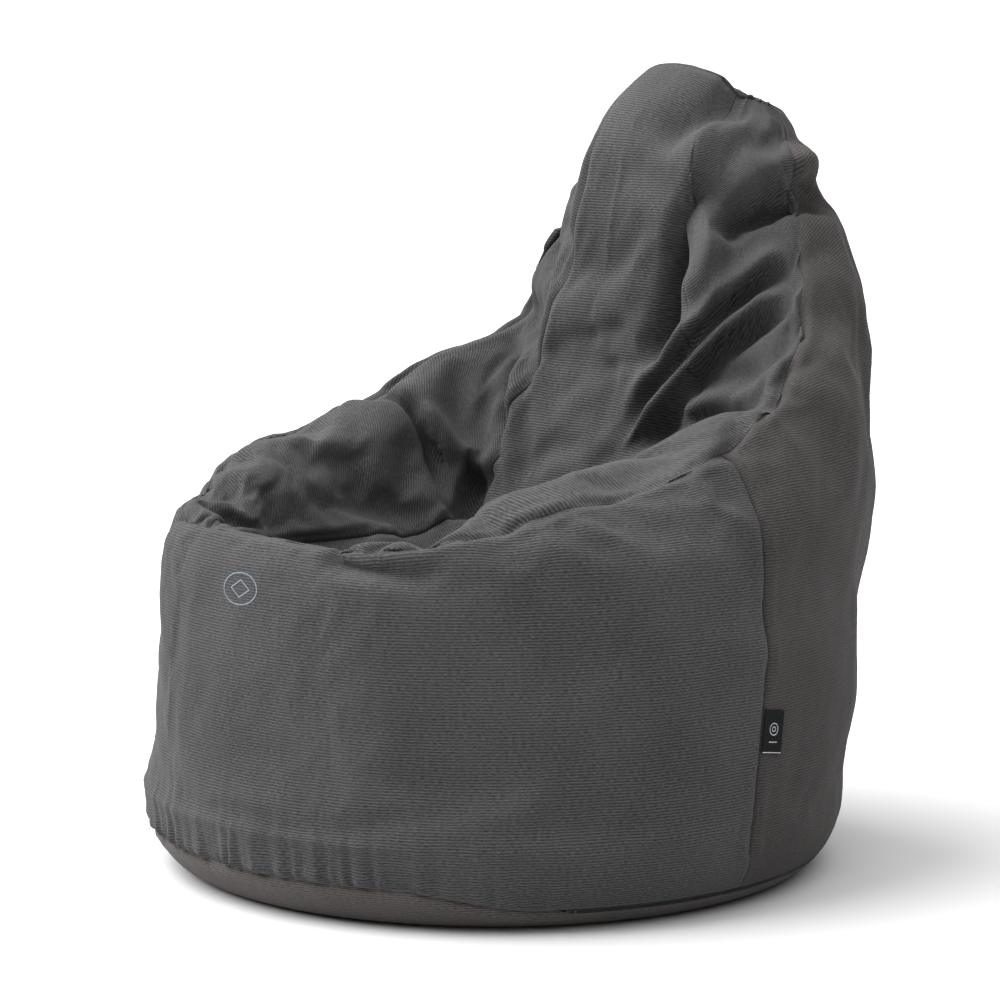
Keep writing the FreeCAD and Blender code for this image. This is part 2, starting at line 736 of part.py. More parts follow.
def add_zip(prefix, tape_depth, start, end, slider_width, slider_length):
    """One closed zip: two tapes, two coils, two stops and the slider, at rest against the stop at the end."""
    tape = f"{tape_depth} + sizes.tape_thickness"
    coil_low = f"sizes.layer_gap - ({tape_depth})"
    coil_high = f"{coil_low} + sizes.coil_height"
    coil_edge = "sizes.coil_gap / 2 + sizes.coil_width"
    outer_plate = f"{coil_high} + sizes.slider_clearance"
    inner_plate = f"-({tape} + sizes.slider_clearance)"
    depth = value_of(tape_depth)
    stop_degrees = degrees_of(size("stop_length"))

    for name, way in (("upper", 1), ("lower", -1)):
        reach = [way * length / foot_length(zip_turn) for length in (size("coil_gap") / 2, size("tape_width"))]
        rows = [turn_to_v(zip_turn + mix(*reach, i / TAPE_ROWS)) for i in range(TAPE_ROWS + 1)]
        along = spread(u_at_angle(start - TAPE_TAIL), u_at_angle(end + TAPE_TAIL), TAPE_STEP)
        solid = thick_patch(lambda u, v, d: deep_wall(u, v, d), along, rows, depth, depth + size("tape_thickness"))
        add_shape(f"{prefix}zip_tape_{name}", solid)

        coil = add_body(f"{prefix}zip_coil_{name}", start + stop_degrees)
        edges = ("sizes.coil_gap / 2", coil_edge) if way > 0 else (f"-({coil_edge})", "-sizes.coil_gap / 2")
        turned_bar(coil, f"{prefix}coil_{name}", (coil_low, coil_high, *edges), end - start - 2 * stop_degrees)

    for name, angle in (("open", start), ("closed", end - stop_degrees)):
        stop = add_body(f"{prefix}zip_{name}_stop", angle)
        box = (coil_low, f"{coil_high} + sizes.layer_gap", f"-({coil_edge})", coil_edge)
        turned_bar(stop, f"{prefix}{name}_stop_bar", box, stop_degrees)

    rest = end - stop_degrees - degrees_of(slider_length / 2 + size("slider_clearance"))
    slider = add_body(f"{prefix}zip_slider", rest)
    half = f"{slider_width} / 2"
    turn = degrees_of(slider_length)
    plates = {
        "outer_plate": (outer_plate, f"{outer_plate} + sizes.slider_plate", f"-({half})", half),
        "neck": (inner_plate, outer_plate, "-sizes.neck_width / 2", "sizes.neck_width / 2"),
        "inner_plate": (f"{inner_plate} - sizes.slider_plate", inner_plate, f"-({half})", half),
    }
    for name, box in plates.items():
        turned_bar(slider, f"{prefix}{name}", box, turn, both_ways=True)
    return slider, rest, f"{outer_plate} + sizes.slider_plate"


def padded(body, name, sketch, length, feature="PartDesign::Pad"):
    """The sketch made solid, or cut away, by half the length each way."""
    made = body.newObject(feature, name)
    made.Profile = sketch
    made.Midplane = True
    made.setExpression("Length", length)
    sketch.Visibility = False
    doc.recompute()
    return made


def round_sketch(body, name, level, radius):
    """A circle on the pin's axis."""
    sketch = side_sketch(body, name)
    centre = Vector(value_of(level), 0, 0)
    index = sketch.addGeometry(Part.Circle(centre, Vector(0, 0, 1), value_of(radius)))
    sketch.addConstraint(Sketcher.Constraint("PointOnObject", index, 3, -1))
    datum(sketch, "DistanceX", ORIGIN_POINT, (index, 3), level)
    bound = sketch.addConstraint(Sketcher.Constraint("Radius", index, value_of(radius)))
    sketch.setExpression(f"Constraints[{bound}]", radius)
    return sketch


def add_pull(slider, rest, plate_face):
    """The slider's lugs and pin, and the pull that swings on the pin."""
    lug_inside = "sizes.pull_width / 2 + sizes.pin_clearance"
    lug_outside = f"{lug_inside} + sizes.lug_thickness"
    eye = "sizes.pin_radius + sizes.pin_clearance"
    barrel = f"{eye} + sizes.eye_wall"
    pin_level = f"{plate_face} + {barrel} + sizes.slider_clearance"
    lug_turn = degrees_of(4 * size("pin_radius"))
    for name, edges in (("upper", (lug_inside, lug_outside)), ("lower", (f"-({lug_outside})", f"-({lug_inside})"))):
        box = (f"{plate_face} - sizes.slider_plate / 2", f"{pin_level} + 1.5 * sizes.pin_radius", *edges)
        turned_bar(slider, f"lug_{name}", box, lug_turn, both_ways=True)
    pin_length = f"2 * ({lug_inside}) + sizes.lug_thickness"
    padded(slider, "pin", round_sketch(slider, "pin_circle", pin_level, "sizes.pin_radius"), pin_length)

    pull = add_body("zip_pull", rest)
    padded(pull, "barrel", round_sketch(pull, "barrel_circle", pin_level, barrel), "sizes.pull_width")
    outline = side_sketch(pull, "pull_outline")
    half = "sizes.pull_thickness / 2"
    rectangle(outline, f"{pin_level} - {half}", f"{pin_level} + {half}", eye, "sizes.pull_length")
    padded(pull, "plate", outline, "sizes.pull_width")
    eye_circle = round_sketch(pull, "eye_circle", pin_level, eye)
    padded(pull, "eye", eye_circle, "sizes.pull_width * 2", "PartDesign::Pocket")


slider, rest, plate_face = add_zip(
    "",
    "sizes.cover_zip_depth",
    size("zip_start_angle"),
    size("zip_end_angle"),
    "sizes.slider_width",
    size("slider_length"),
)
add_pull(slider, rest, plate_face)
add_zip(
    "liner_",
    "sizes.liner_zip_depth",
    size("liner_zip_start_angle"),
    size("liner_zip_end_angle"),
    "sizes.liner_slider_width",
    size("liner_slider_length"),
)


# ---------------------------------------------------------------------------------------------------------------
# Trim: the woven flag label in the left side seam, the embroidered motif and the care label
# ---------------------------------------------------------------------------------------------------------------


def v_at_height(u, height):
    low, high = 0.0, 1.0
    for _ in range(50):
        middle = (low + high) / 2
        low, high = (middle, high) if wall(u, middle).z < height else (low, middle)
    return low


def small_patch(u_middle, height, width, length, outer, inner):
    """A small patch of the wall, sized along the fabric."""
    v = v_at_height(u_middle, height)
    across = (wall(u_middle + 1, v) - wall(u_middle - 1, v)).Length / 2
    upwards = (wall(u_middle, v + STEP) - wall(u_middle, v - STEP)).Length / (2 * STEP)
    us = [u_middle + width / across * (i / 4 - 0.5) for i in range(5)]
    vs = [v + length / upwards * (i / 4 - 0.5) for i in range(5)]
    return thick_patch(lambda x, y, depth: deep_wall(x, y, depth), us, vs, outer, inner)


motif_lift = size("layer_gap") + size("thread_height")
motif = small_patch(
    0, size("motif_middle_height"), size("motif_width"), size("motif_height"), -motif_lift, -size("layer_gap")
)
add_shape("front_motif", motif)

care_depth = cover + size("layer_gap")
care_label = small_patch(
    -SIDE_SEAM * 0.9,
    size("flag_middle_height"),
    size("care_label_width"),
    size("care_label_length"),
    care_depth,
    care_depth + size("care_label_thickness"),
)
add_shape("care_label", care_label)

flag_v = v_at_height(SIDE_SEAM, size("flag_middle_height"))
flag_out = wall_normal(SIDE_SEAM, flag_v)
flag_up = (wall(SIDE_SEAM, flag_v + STEP) - wall(SIDE_SEAM, flag_v - STEP)).normalize()
flag_back = flag_up.cross(flag_out)
flag_hinge = wall(SIDE_SEAM, flag_v) + flag_out * (size("flag_gap") + size("flag_thickness") / 2)
flag = doc.addObject("Part::Box", "side_label")
flag.Label = "side_label"
flag.setExpression("Length", "sizes.flag_width")
flag.setExpression("Width", "sizes.flag_thickness")
flag.setExpression("Height", "sizes.flag_height")
flag_corner = flag_hinge - flag_up * (size("flag_height") / 2) + flag_out * (size("flag_thickness") / 2)
flag.Placement = Placement(flag_corner, Rotation(flag_back, -flag_out, flag_up, "XZY"))
pieces.append(flag)


# ---------------------------------------------------------------------------------------------------------------
# Checks and export
# ---------------------------------------------------------------------------------------------------------------

doc.recompute()
for obj in doc.Objects:
    if {"Invalid", "Error"} & set(obj.State):
        raise RuntimeError(f"{obj.Label}: {obj.State}")
for piece in pieces:
    if piece.Shape.isNull() or not piece.Shape.isValid() or piece.Shape.Volume <= 0:
        raise RuntimeError(f"{piece.Label} is not a sound solid")

os.makedirs("parts", exist_ok=True)
for piece in pieces:
    piece.Shape.exportStep(f"parts/{piece.Label}.step")
print(f"{len(pieces)} pieces written")
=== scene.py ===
import math

import bmesh
import bpy
import numpy as np
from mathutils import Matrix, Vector, noise
from mathutils.bvhtree import BVHTree
from mathutils.kdtree import KDTree


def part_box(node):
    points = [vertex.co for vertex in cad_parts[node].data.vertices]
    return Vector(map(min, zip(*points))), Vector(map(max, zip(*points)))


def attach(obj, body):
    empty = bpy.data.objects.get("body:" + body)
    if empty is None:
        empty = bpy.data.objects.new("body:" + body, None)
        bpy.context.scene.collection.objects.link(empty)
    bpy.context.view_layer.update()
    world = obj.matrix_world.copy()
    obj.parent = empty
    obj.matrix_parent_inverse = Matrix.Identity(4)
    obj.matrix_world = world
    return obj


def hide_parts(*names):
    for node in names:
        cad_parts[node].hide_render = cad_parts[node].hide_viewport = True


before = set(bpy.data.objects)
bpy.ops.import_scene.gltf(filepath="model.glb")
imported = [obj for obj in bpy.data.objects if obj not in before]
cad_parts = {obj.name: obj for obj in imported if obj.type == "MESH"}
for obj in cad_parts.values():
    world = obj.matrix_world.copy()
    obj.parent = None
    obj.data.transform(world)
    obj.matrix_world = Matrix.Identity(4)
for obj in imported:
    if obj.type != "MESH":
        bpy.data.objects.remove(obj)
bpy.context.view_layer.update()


# --------------------------------------------------------------------------------------------------------
# The sewn shape. A bean bag chair is cut from flat panels: a round base, a wall in two panels, and a strip
# that runs from the front rim over the seat and up to the head. The wall and the strip meet in the crest
# seam.
# --------------------------------------------------------------------------------------------------------

BELLY_RADIUS = 0.388  # widest part of the round base
BELLY_HEIGHT = 0.090
FOOT_REACH = 0.058  # how far the foot curves in, down to the flat contact patch

# From the front corner along the arm and up the side of the head, on the left, in millimetres: the base's
# angle below, the crest seam, the shoulder that pulls the wall to it, and the strip's middle line (y, z).
STATIONS = [
    (27, (165, -316, 391), (185, -364, 385), (-338, 392)),
    (38, (207, -280, 399), (238, -318, 390), (-300, 379)),
    (50, (241, -226, 411), (285, -256, 391), (-250, 360)),
    (68, (276, -110, 435), (360, -126, 402), (-170, 334)),
    (89, (292, 48, 470), (390, 45, 428), (-40, 318)),
    (103, (280, 138, 516), (368, 165, 482), (60, 326)),
    (115, (256, 200, 558), (340, 262, 532), (130, 374)),
    (126, (226, 250, 606), (303, 340, 584), (170, 454)),
    (137, (190, 284, 664), (255, 418, 636), (190, 545)),
    (147, (154, 312, 722), (210, 432, 692), (206, 638)),
    (157, (126, 330, 782), (170, 424, 742), (226, 733)),
    (162, (112, 335, 815), (150, 415, 780), (250, 806)),
    (168, (92, 335, 842), (125, 412, 812), (322, 866)),
]
MM = 0.001
MIRROR = np.array([-1.0, 1.0, 1.0])
BELLY = 0.2  # the wall's height parameter where the foot's curve ends
LEAN_BACK = 0.020  # how far the wall leans back above the foot
DISH_WIDTH, DISH_WIDENING = 0.5, 0.1  # the dished part's half width as a share, and what the back adds


def smooth(x):
    x = np.clip(x, 0.0, 1.0)
    return x * x * (3 - 2 * x)


def spline(knots, values, at):
    """A smooth curve through values at uneven knots."""
    knots, values, at = np.asarray(knots, float), np.asarray(values, float), np.asarray(at, float)
    flat = values.reshape(len(knots), -1)
    gaps = np.diff(knots)[:, None]
    chords = np.diff(flat, axis=0) / gaps
    inner = (chords[:-1] * gaps[1:] + chords[1:] * gaps[:-1]) / (gaps[:-1] + gaps[1:])
    slopes = np.vstack([chords[:1], inner, chords[-1:]])
    i = np.clip(np.searchsorted(knots, at, side="right") - 1, 0, len(knots) - 2)
    gap = gaps[i]
    s = ((at - knots[i]) / gap[..., 0])[..., None]
    point = (
        flat[i] * (2 * s**3 - 3 * s**2 + 1)
        + slopes[i] * gap * (s**3 - 2 * s**2 + s)
        + flat[i + 1] * (3 * s**2 - 2 * s**3)
        + slopes[i + 1] * gap * (s**3 - s**2)
    )
    return point if values.ndim > 1 else point[..., 0]


def rim(corner, middle, w):
    """The crest seam across the front or the head, w from 0 in the middle to 1 at the corner."""
    w = np.asarray(w, float)
    y = middle[0] + (corner[1] - middle[0]) * w * w
    z = middle[1] + (corner[2] - middle[1]) * w * w
    return np.stack([corner[0] * w, y, z], axis=-1) * MM


station_seam = np.array([s[1] for s in STATIONS]) * MM
station_middle = np.array([(0, *s[3]) for s in STATIONS]) * MM

# Between the corners: the base's angle, the crest seam, and how far the shoulder stands from it.
front_columns = [
    (27 * w, rim(STATIONS[0][1], STATIONS[0][3], w), np.array([20 * w, -52 + 4 * w, -6]) * MM)
    for w in (0, 0.5)
]
head_columns = [
    (180 - 12 * w, rim(STATIONS[-1][1], STATIONS[-1][3], w), np.array([32 * w, 76, -40]) * MM)
    for w in (0.5, 0)
]
half_angles = [c[0] for c in front_columns] + [s[0] for s in STATIONS] + [c[0] for c in head_columns]
half_seam = np.array([c[1] for c in front_columns] + list(station_seam) + [c[1] for c in head_columns])
half_shoulder = np.array(
    [c[1] + c[2] for c in front_columns]
    + [np.array(s[2]) * MM for s in STATIONS]
    + [c[1] + c[2] for c in head_columns]
)
half_knots = np.concatenate([[0], np.cumsum(np.linalg.norm(np.diff(half_seam, axis=0), axis=1))])
HALF = half_knots[-1]
station_knots = half_knots[2:-2]
FIRST, LAST = station_knots[0], station_knots[-1]
SIDE_SEAM = station_knots[4]
wide_knots = np.concatenate([[-half_knots[2], -half_knots[1]], half_knots, 2 * HALF - half_knots[[-2, -3]]])
past_head = 360 - np.array(half_angles)[[-2, -3]]
wide_angles = np.concatenate([[-half_angles[2], -half_angles[1]], half_angles, past_head])
wide_shoulder = np.vstack([half_shoulder[[2, 1]] * MIRROR, half_shoulder, half_shoulder[[-2, -3]] * MIRROR])


def crest(u):
    """The crest seam's point at u, its length from the front's middle; negative u is the right side."""
    u = np.asarray(u, float)
    a = np.abs(u)
    front = rim(STATIONS[0][1], STATIONS[0][3], a / FIRST)
    head = rim(STATIONS[-1][1], STATIONS[-1][3], (HALF - a) / (HALF - LAST))
    arm = spline(station_knots, station_seam, a)
    point = np.where((a < FIRST)[..., None], front, np.where((a > LAST)[..., None], head, arm))
    return point * np.where(u[..., None] < 0, MIRROR, 1.0)


def base_angle(u):
    """The base's angle below u, in radians from the front towards the left side."""
    return np.radians(np.sign(u) * spline(wide_knots, wide_angles, np.abs(u)))


def wall(u, v):
    """The wall: v from 0 at the floor to 1 at the crest seam."""
    u, v = np.broadcast_arrays(np.asarray(u, float), np.asarray(v, float))
    angle = base_angle(u)
    out = np.stack([np.sin(angle), -np.cos(angle), np.zeros_like(angle)], axis=-1)
    up = np.array([0.0, 0.0, 1.0])
    turn = np.clip(v / BELLY, 0, 1) * math.pi / 2
    foot = out * (BELLY_RADIUS - FOOT_REACH * (1 - np.sin(turn)))[..., None]
    foot = foot + up * (BELLY_HEIGHT * (1 - np.cos(turn)))[..., None]
    end = crest(u)
    shoulder = spline(wide_knots, wide_shoulder, np.abs(u)) * np.where(u[..., None] < 0, MIRROR, 1.0)
    start = out * BELLY_RADIUS + up * BELLY_HEIGHT
    lifted_height = BELLY_HEIGHT + (end[..., 2:] - BELLY_HEIGHT) / 3
    lifted = out * BELLY_RADIUS + np.array([0.0, LEAN_BACK, 0.0]) + up * lifted_height
    s = np.clip((v - BELLY) / (1 - BELLY), 0, 1)[..., None]
    body = start * (1 - s) ** 3 + lifted * 3 * s * (1 - s) ** 2 + shoulder * 3 * s**2 * (1 - s) + end * s**3
    return np.where((v <= BELLY)[..., None], foot, body)


def strip(w, t):
    """The seat strip: w from -1 to 1 across, t along the crest seam from the front corner to the head's."""
    w, t = np.broadcast_arrays(np.asarray(w, float), np.asarray(t, float))
    edge = spline(station_knots, station_seam, t)
    middle = spline(station_knots, station_middle, t)
    along = (t - FIRST) / (LAST - FIRST)
    trough = DISH_WIDTH + DISH_WIDENING * smooth((along - 0.4) / 0.3)
    dished = smooth(along / 0.12) * smooth((1 - along) / 0.06)
    rise = w * w * (1 - dished) + dished * smooth((np.abs(w) - trough) / (1 - trough))
    rise = rise[..., None]
    point = middle + (edge - middle) * rise
    point[..., 0] = edge[..., 0] * w
    return point


# --------------------------------------------------------------------------------------------------------
# The cover before it is filled: one net of quads over the whole bag, with its rows and columns laid along
# the seams, so that every panel is a block of it. The base seam runs low where the zip is.
# --------------------------------------------------------------------------------------------------------

SEAT_PANEL_SHARE = 0.62  # of the strip's width; an arm panel is on each side
ARM_COLUMNS, SEAT_COLUMNS = 26, 34
FRONT_ROWS, BACK_ROWS = 42, 60
FOOT_ROWS, WALL_ROWS = 7, 50
FLOOR_RINGS = 7
SEAM_HEIGHT, ZIP_HEIGHT = 0.045, 0.022
ZIP_START, ZIP_END, SEAM_DROP = 53, 177, 25  # degrees from the front; the seam drops over the last


def between(angle, start, end, fade):
    """1 from start to end, falling to 0 over fade on each side, in degrees."""
    angle = angle % 360
    return smooth((angle - start) / fade + 1) * smooth((end - angle) / fade + 1)


def even(*stops):
    """Even values between stops: a first value, then pairs of a count and the next value."""
    values = [stops[0]]
    for count, stop in zip(stops[1::2], stops[2::2]):
        values.extend(np.linspace(values[-1], stop, count + 1)[1:])
    return np.array(values)


w_nodes = even(-1, ARM_COLUMNS, -SEAT_PANEL_SHARE, SEAT_COLUMNS, SEAT_PANEL_SHARE, ARM_COLUMNS, 1)
t_nodes = even(FIRST, FRONT_ROWS, SIDE_SEAM, BACK_ROWS, LAST)
last_w, last_t = len(w_nodes) - 1, len(t_nodes) - 1
strip_net = strip(w_nodes[None, :], t_nodes[:, None])
strip_ids = np.arange((last_t + 1) * (last_w + 1)).reshape(last_t + 1, last_w + 1)

# Once round the crest seam: front rim to the left, left arm, head to the right, right arm.
ring_ids = np.concatenate(
    [strip_ids[0, :-1], strip_ids[:-1, -1], strip_ids[-1, :0:-1], strip_ids[:0:-1, 0]]
)
ring_u = np.concatenate(
    [w_nodes[:-1] * FIRST, t_nodes[:-1], HALF - (HALF - LAST) * w_nodes[:0:-1], -t_nodes[:0:-1]]
)
ring_u = np.where(ring_u > HALF, ring_u - 2 * HALF, ring_u)
columns = len(ring_u)

ring_degrees = np.degrees(base_angle(ring_u)) % 360
over_zip = between(ring_degrees, ZIP_START, ZIP_END, SEAM_DROP)
seam_height = SEAM_HEIGHT + (ZIP_HEIGHT - SEAM_HEIGHT) * over_zip
seam_v = np.arccos(1 - seam_height / BELLY_HEIGHT) / (math.pi / 2) * BELLY
row_share = np.linspace(0, 1, WALL_ROWS + 1)
row_share = 0.5 * row_share + 0.25 * (1 - np.cos(row_share * math.pi))  # closer together near both seams
row_v = np.vstack(
    [seam_v * i / FOOT_ROWS for i in range(FOOT_ROWS)] + [seam_v + (1 - seam_v) * s for s in row_share[:-1]]
)
wall_net = wall(ring_u[None, :], row_v)
floor_share = np.linspace(1, 0, FLOOR_RINGS + 2)[1:-1]
floor_net = wall_net[0][None] * np.array([1, 1, 0]) * floor_share[:, None, None]

start = strip_ids.size
wall_ids = np.vstack([start + np.arange(row_v.size).reshape(row_v.shape), ring_ids])
start += row_v.size
floor_ids = start + np.arange(FLOOR_RINGS * columns).reshape(FLOOR_RINGS, columns)
points = np.vstack([strip_net.reshape(-1, 3), wall_net.reshape(-1, 3), floor_net.reshape(-1, 3)])

PANELS = ["seat_back_panel", "left_arm_panel", "right_arm_panel", "front_panel", "back_panel", "base_panel"]
SEAT, LEFT_ARM, RIGHT_ARM, FRONT, BACK, BASE = range(len(PANELS))
quads, quad_panel, quad_uv = [], [], []


def add_net(ids, panel_of, uv, closed):
    """Quads over a net of ids, rows by columns, with a texture place in metres for each corner."""
    rows, cols = ids.shape
    for r in range(rows - 1):
        for c in range(cols if closed else cols - 1):
            d = (c + 1) % cols
            quads.append((ids[r, c], ids[r, d], ids[r + 1, d], ids[r + 1, c]))
            quad_panel.append(panel_of(r, c))
            quad_uv.append((uv[r, c], uv[r, c + 1], uv[r + 1, c + 1], uv[r + 1, c]))


def lengths_along(net, axis, closed=False):
    """Running length along one axis of a net."""
    net = np.concatenate([net, net[:, :1]], axis=1) if closed else net
    step = np.linalg.norm(np.diff(net, axis=axis), axis=-1)
    pad = [(0, 0), (0, 0)]
    pad[axis] = (1, 0)
    return np.cumsum(np.pad(step, pad), axis=axis)


strip_right = lengths_along(strip_net, 1)
strip_right = strip_right - strip_right[:, last_w // 2 : last_w // 2 + 1]
strip_up = np.repeat(lengths_along(strip_net, 0)[:, last_w // 2 : last_w // 2 + 1], last_w + 1, axis=1)
seat_low = ARM_COLUMNS
seat_high = ARM_COLUMNS + SEAT_COLUMNS


def strip_panel(r, c):
    return SEAT if seat_low <= c < seat_high else RIGHT_ARM if c < seat_low else LEFT_ARM


add_net(strip_ids, strip_panel, np.stack([strip_right, strip_up], -1), False)

front_first = columns - FRONT_ROWS
front_last = last_w + FRONT_ROWS


def wall_panel(r, c):
    if r < FOOT_ROWS:
        return BASE
    return FRONT if c >= front_first or c < front_last else BACK


full_wall = np.concatenate([wall_net, points[ring_ids][None]], axis=0)
wall_up = lengths_along(full_wall, 0)
wall_up = np.concatenate([wall_up, wall_up[:, :1]], axis=1)
around = lengths_along(full_wall, 1, closed=True)[FOOT_ROWS + WALL_ROWS // 3]
wall_round = np.repeat(around[None], len(full_wall), axis=0)
add_net(wall_ids, wall_panel, np.stack([wall_round, wall_up], -1), True)

disc_ids = np.vstack([wall_ids[:1], floor_ids])
disc_net = np.concatenate([wall_net[:1], floor_net], axis=0)[..., :2]
disc_net = np.concatenate([disc_net, disc_net[:, :1]], axis=1)
add_net(disc_ids[::-1], lambda r, c: BASE, disc_net[::-1], True)
for c in range(columns // 2 - 1):  # the last ring is closed by quads from side to side, with no pole
    across = [columns - 1 - c, columns - 2 - c, c + 1, c]
    quads.append(tuple(floor_ids[-1, across]))
    quad_panel.append(BASE)
    quad_uv.append(tuple(disc_net[-1, across]))
quads, quad_panel, quad_uv = np.array(quads), np.array(quad_panel), np.array(quad_uv)
# The front panel is cut in one across the start of the ring.
turned = (quad_panel == FRONT) & (quad_uv[:, 0, 0] > around[-1] / 2)
quad_uv[turned, :, 0] -= around[-1]
on_strip = np.arange(len(points)) < strip_ids.size


def mesh_normals(place, faces):
    """Even normals of the net's points, from its quads."""
    a, b, c, d = (place[faces[:, k]] for k in range(4))
    normal = np.cross(c - a, d - b)
    total = np.zeros_like(place)
    for k in range(4):
        np.add.at(total, faces[:, k], normal)
    return total / np.maximum(np.linalg.norm(total, axis=1, keepdims=True), 1e-12)


# --------------------------------------------------------------------------------------------------------
# How this bag slumps. Its beads have settled unevenly, so parts of the form lean or sag: each push has a
# middle, a radius and a way to move, in millimetres. Broad folds are then laid on it, which the filling
# holds open.
# --------------------------------------------------------------------------------------------------------

PUSHES = [
    ((-150, 300, 725), 70, (-14, -10, 0)),
    ((-250, 228, 570), 80, (28, 24, -6)),
    ((-270, -60, 450), 110, (-4, -4, 9)),
    ((-275, -275, 350), 120, (15, 15, 0)),
    ((-280, -280, 220), 110, (9, 9, 0)),
    ((150, 385, 715), 80, (10, 10, 4)),
    ((215, 365, 620), 80, (8, 8, 0)),
    ((-50, 300, 850), 60, (-12, -10, 9)),
    ((80, 335, 835), 50, (4, 8, -16)),
]


def pushed(place):
    moved = place.copy()
    for middle, radius, way in PUSHES:
        near = np.exp(-(np.linalg.norm(place - np.array(middle) * MM, axis=1) / (radius * MM)) ** 2)
        moved += near[:, None] * np.array(way) * MM
    return moved


def near_line(place, line):
    """Each point's distance to a line of points, its share along it and its side of it."""
    line = np.array(line, float) * MM
    lengths = np.linalg.norm(np.diff(line, axis=0), axis=1)
    starts = np.concatenate([[0], np.cumsum(lengths)])
    best = np.full(len(place), np.inf)
    share = np.zeros(len(place))
    offset = np.zeros_like(place)
    tangent = np.zeros_like(place)
    for k, (a, b) in enumerate(zip(line, line[1:])):
        way = (b - a) / lengths[k]
        s = np.clip((place - a) @ way, 0, lengths[k])
        gap = place - a - s[:, None] * way
        distance = np.linalg.norm(gap, axis=1)
        nearer = distance < best
        best[nearer] = distance[nearer]
        share[nearer] = ((starts[k] + s) / starts[-1])[nearer]
        offset[nearer] = gap[nearer]
        tangent[nearer] = way
    return best, share, offset, tangent


crest_tree = KDTree(columns)
for index, place in enumerate(points[ring_ids]):
    crest_tree.insert(place, index)
crest_tree.balance()


CREST_FADE, END_FADE = 0.03, 0.25  # in metres, and as a share of the fold's length
LIP_GAIN = 1.6  # brings a lip's highest rise to about two thirds of its value


def folded(place, normal, folds):
    """The points moved along their normals by folds.

    A fold has a line, a width, a height along its middle, and a lip, by which its right side rises and its
    left side falls. It fades towards its ends, and at the crest seam if it is on one side of it only.
    """
    inside = smooth(np.array([crest_tree.find(point)[2] for point in place]) / CREST_FADE)
    moved = np.zeros(len(place))
    for where, line, width, height, lip in folds:
        distance, share, offset, tangent = near_line(place, line)
        ends = smooth(share / END_FADE) * smooth((1 - share) / END_FADE)
        side = np.einsum("ij,ij->i", np.cross(tangent, normal), offset) / (width * MM)
        spread = np.exp(-((distance / (width * MM)) ** 2))
        region = {"strip": on_strip_now * inside, "wall": ~on_strip_now * inside, "both": 1.0}[where]
        moved += region * (height * spread + lip * LIP_GAIN * side * spread) * ends * MM
    return place + normal * moved[:, None]


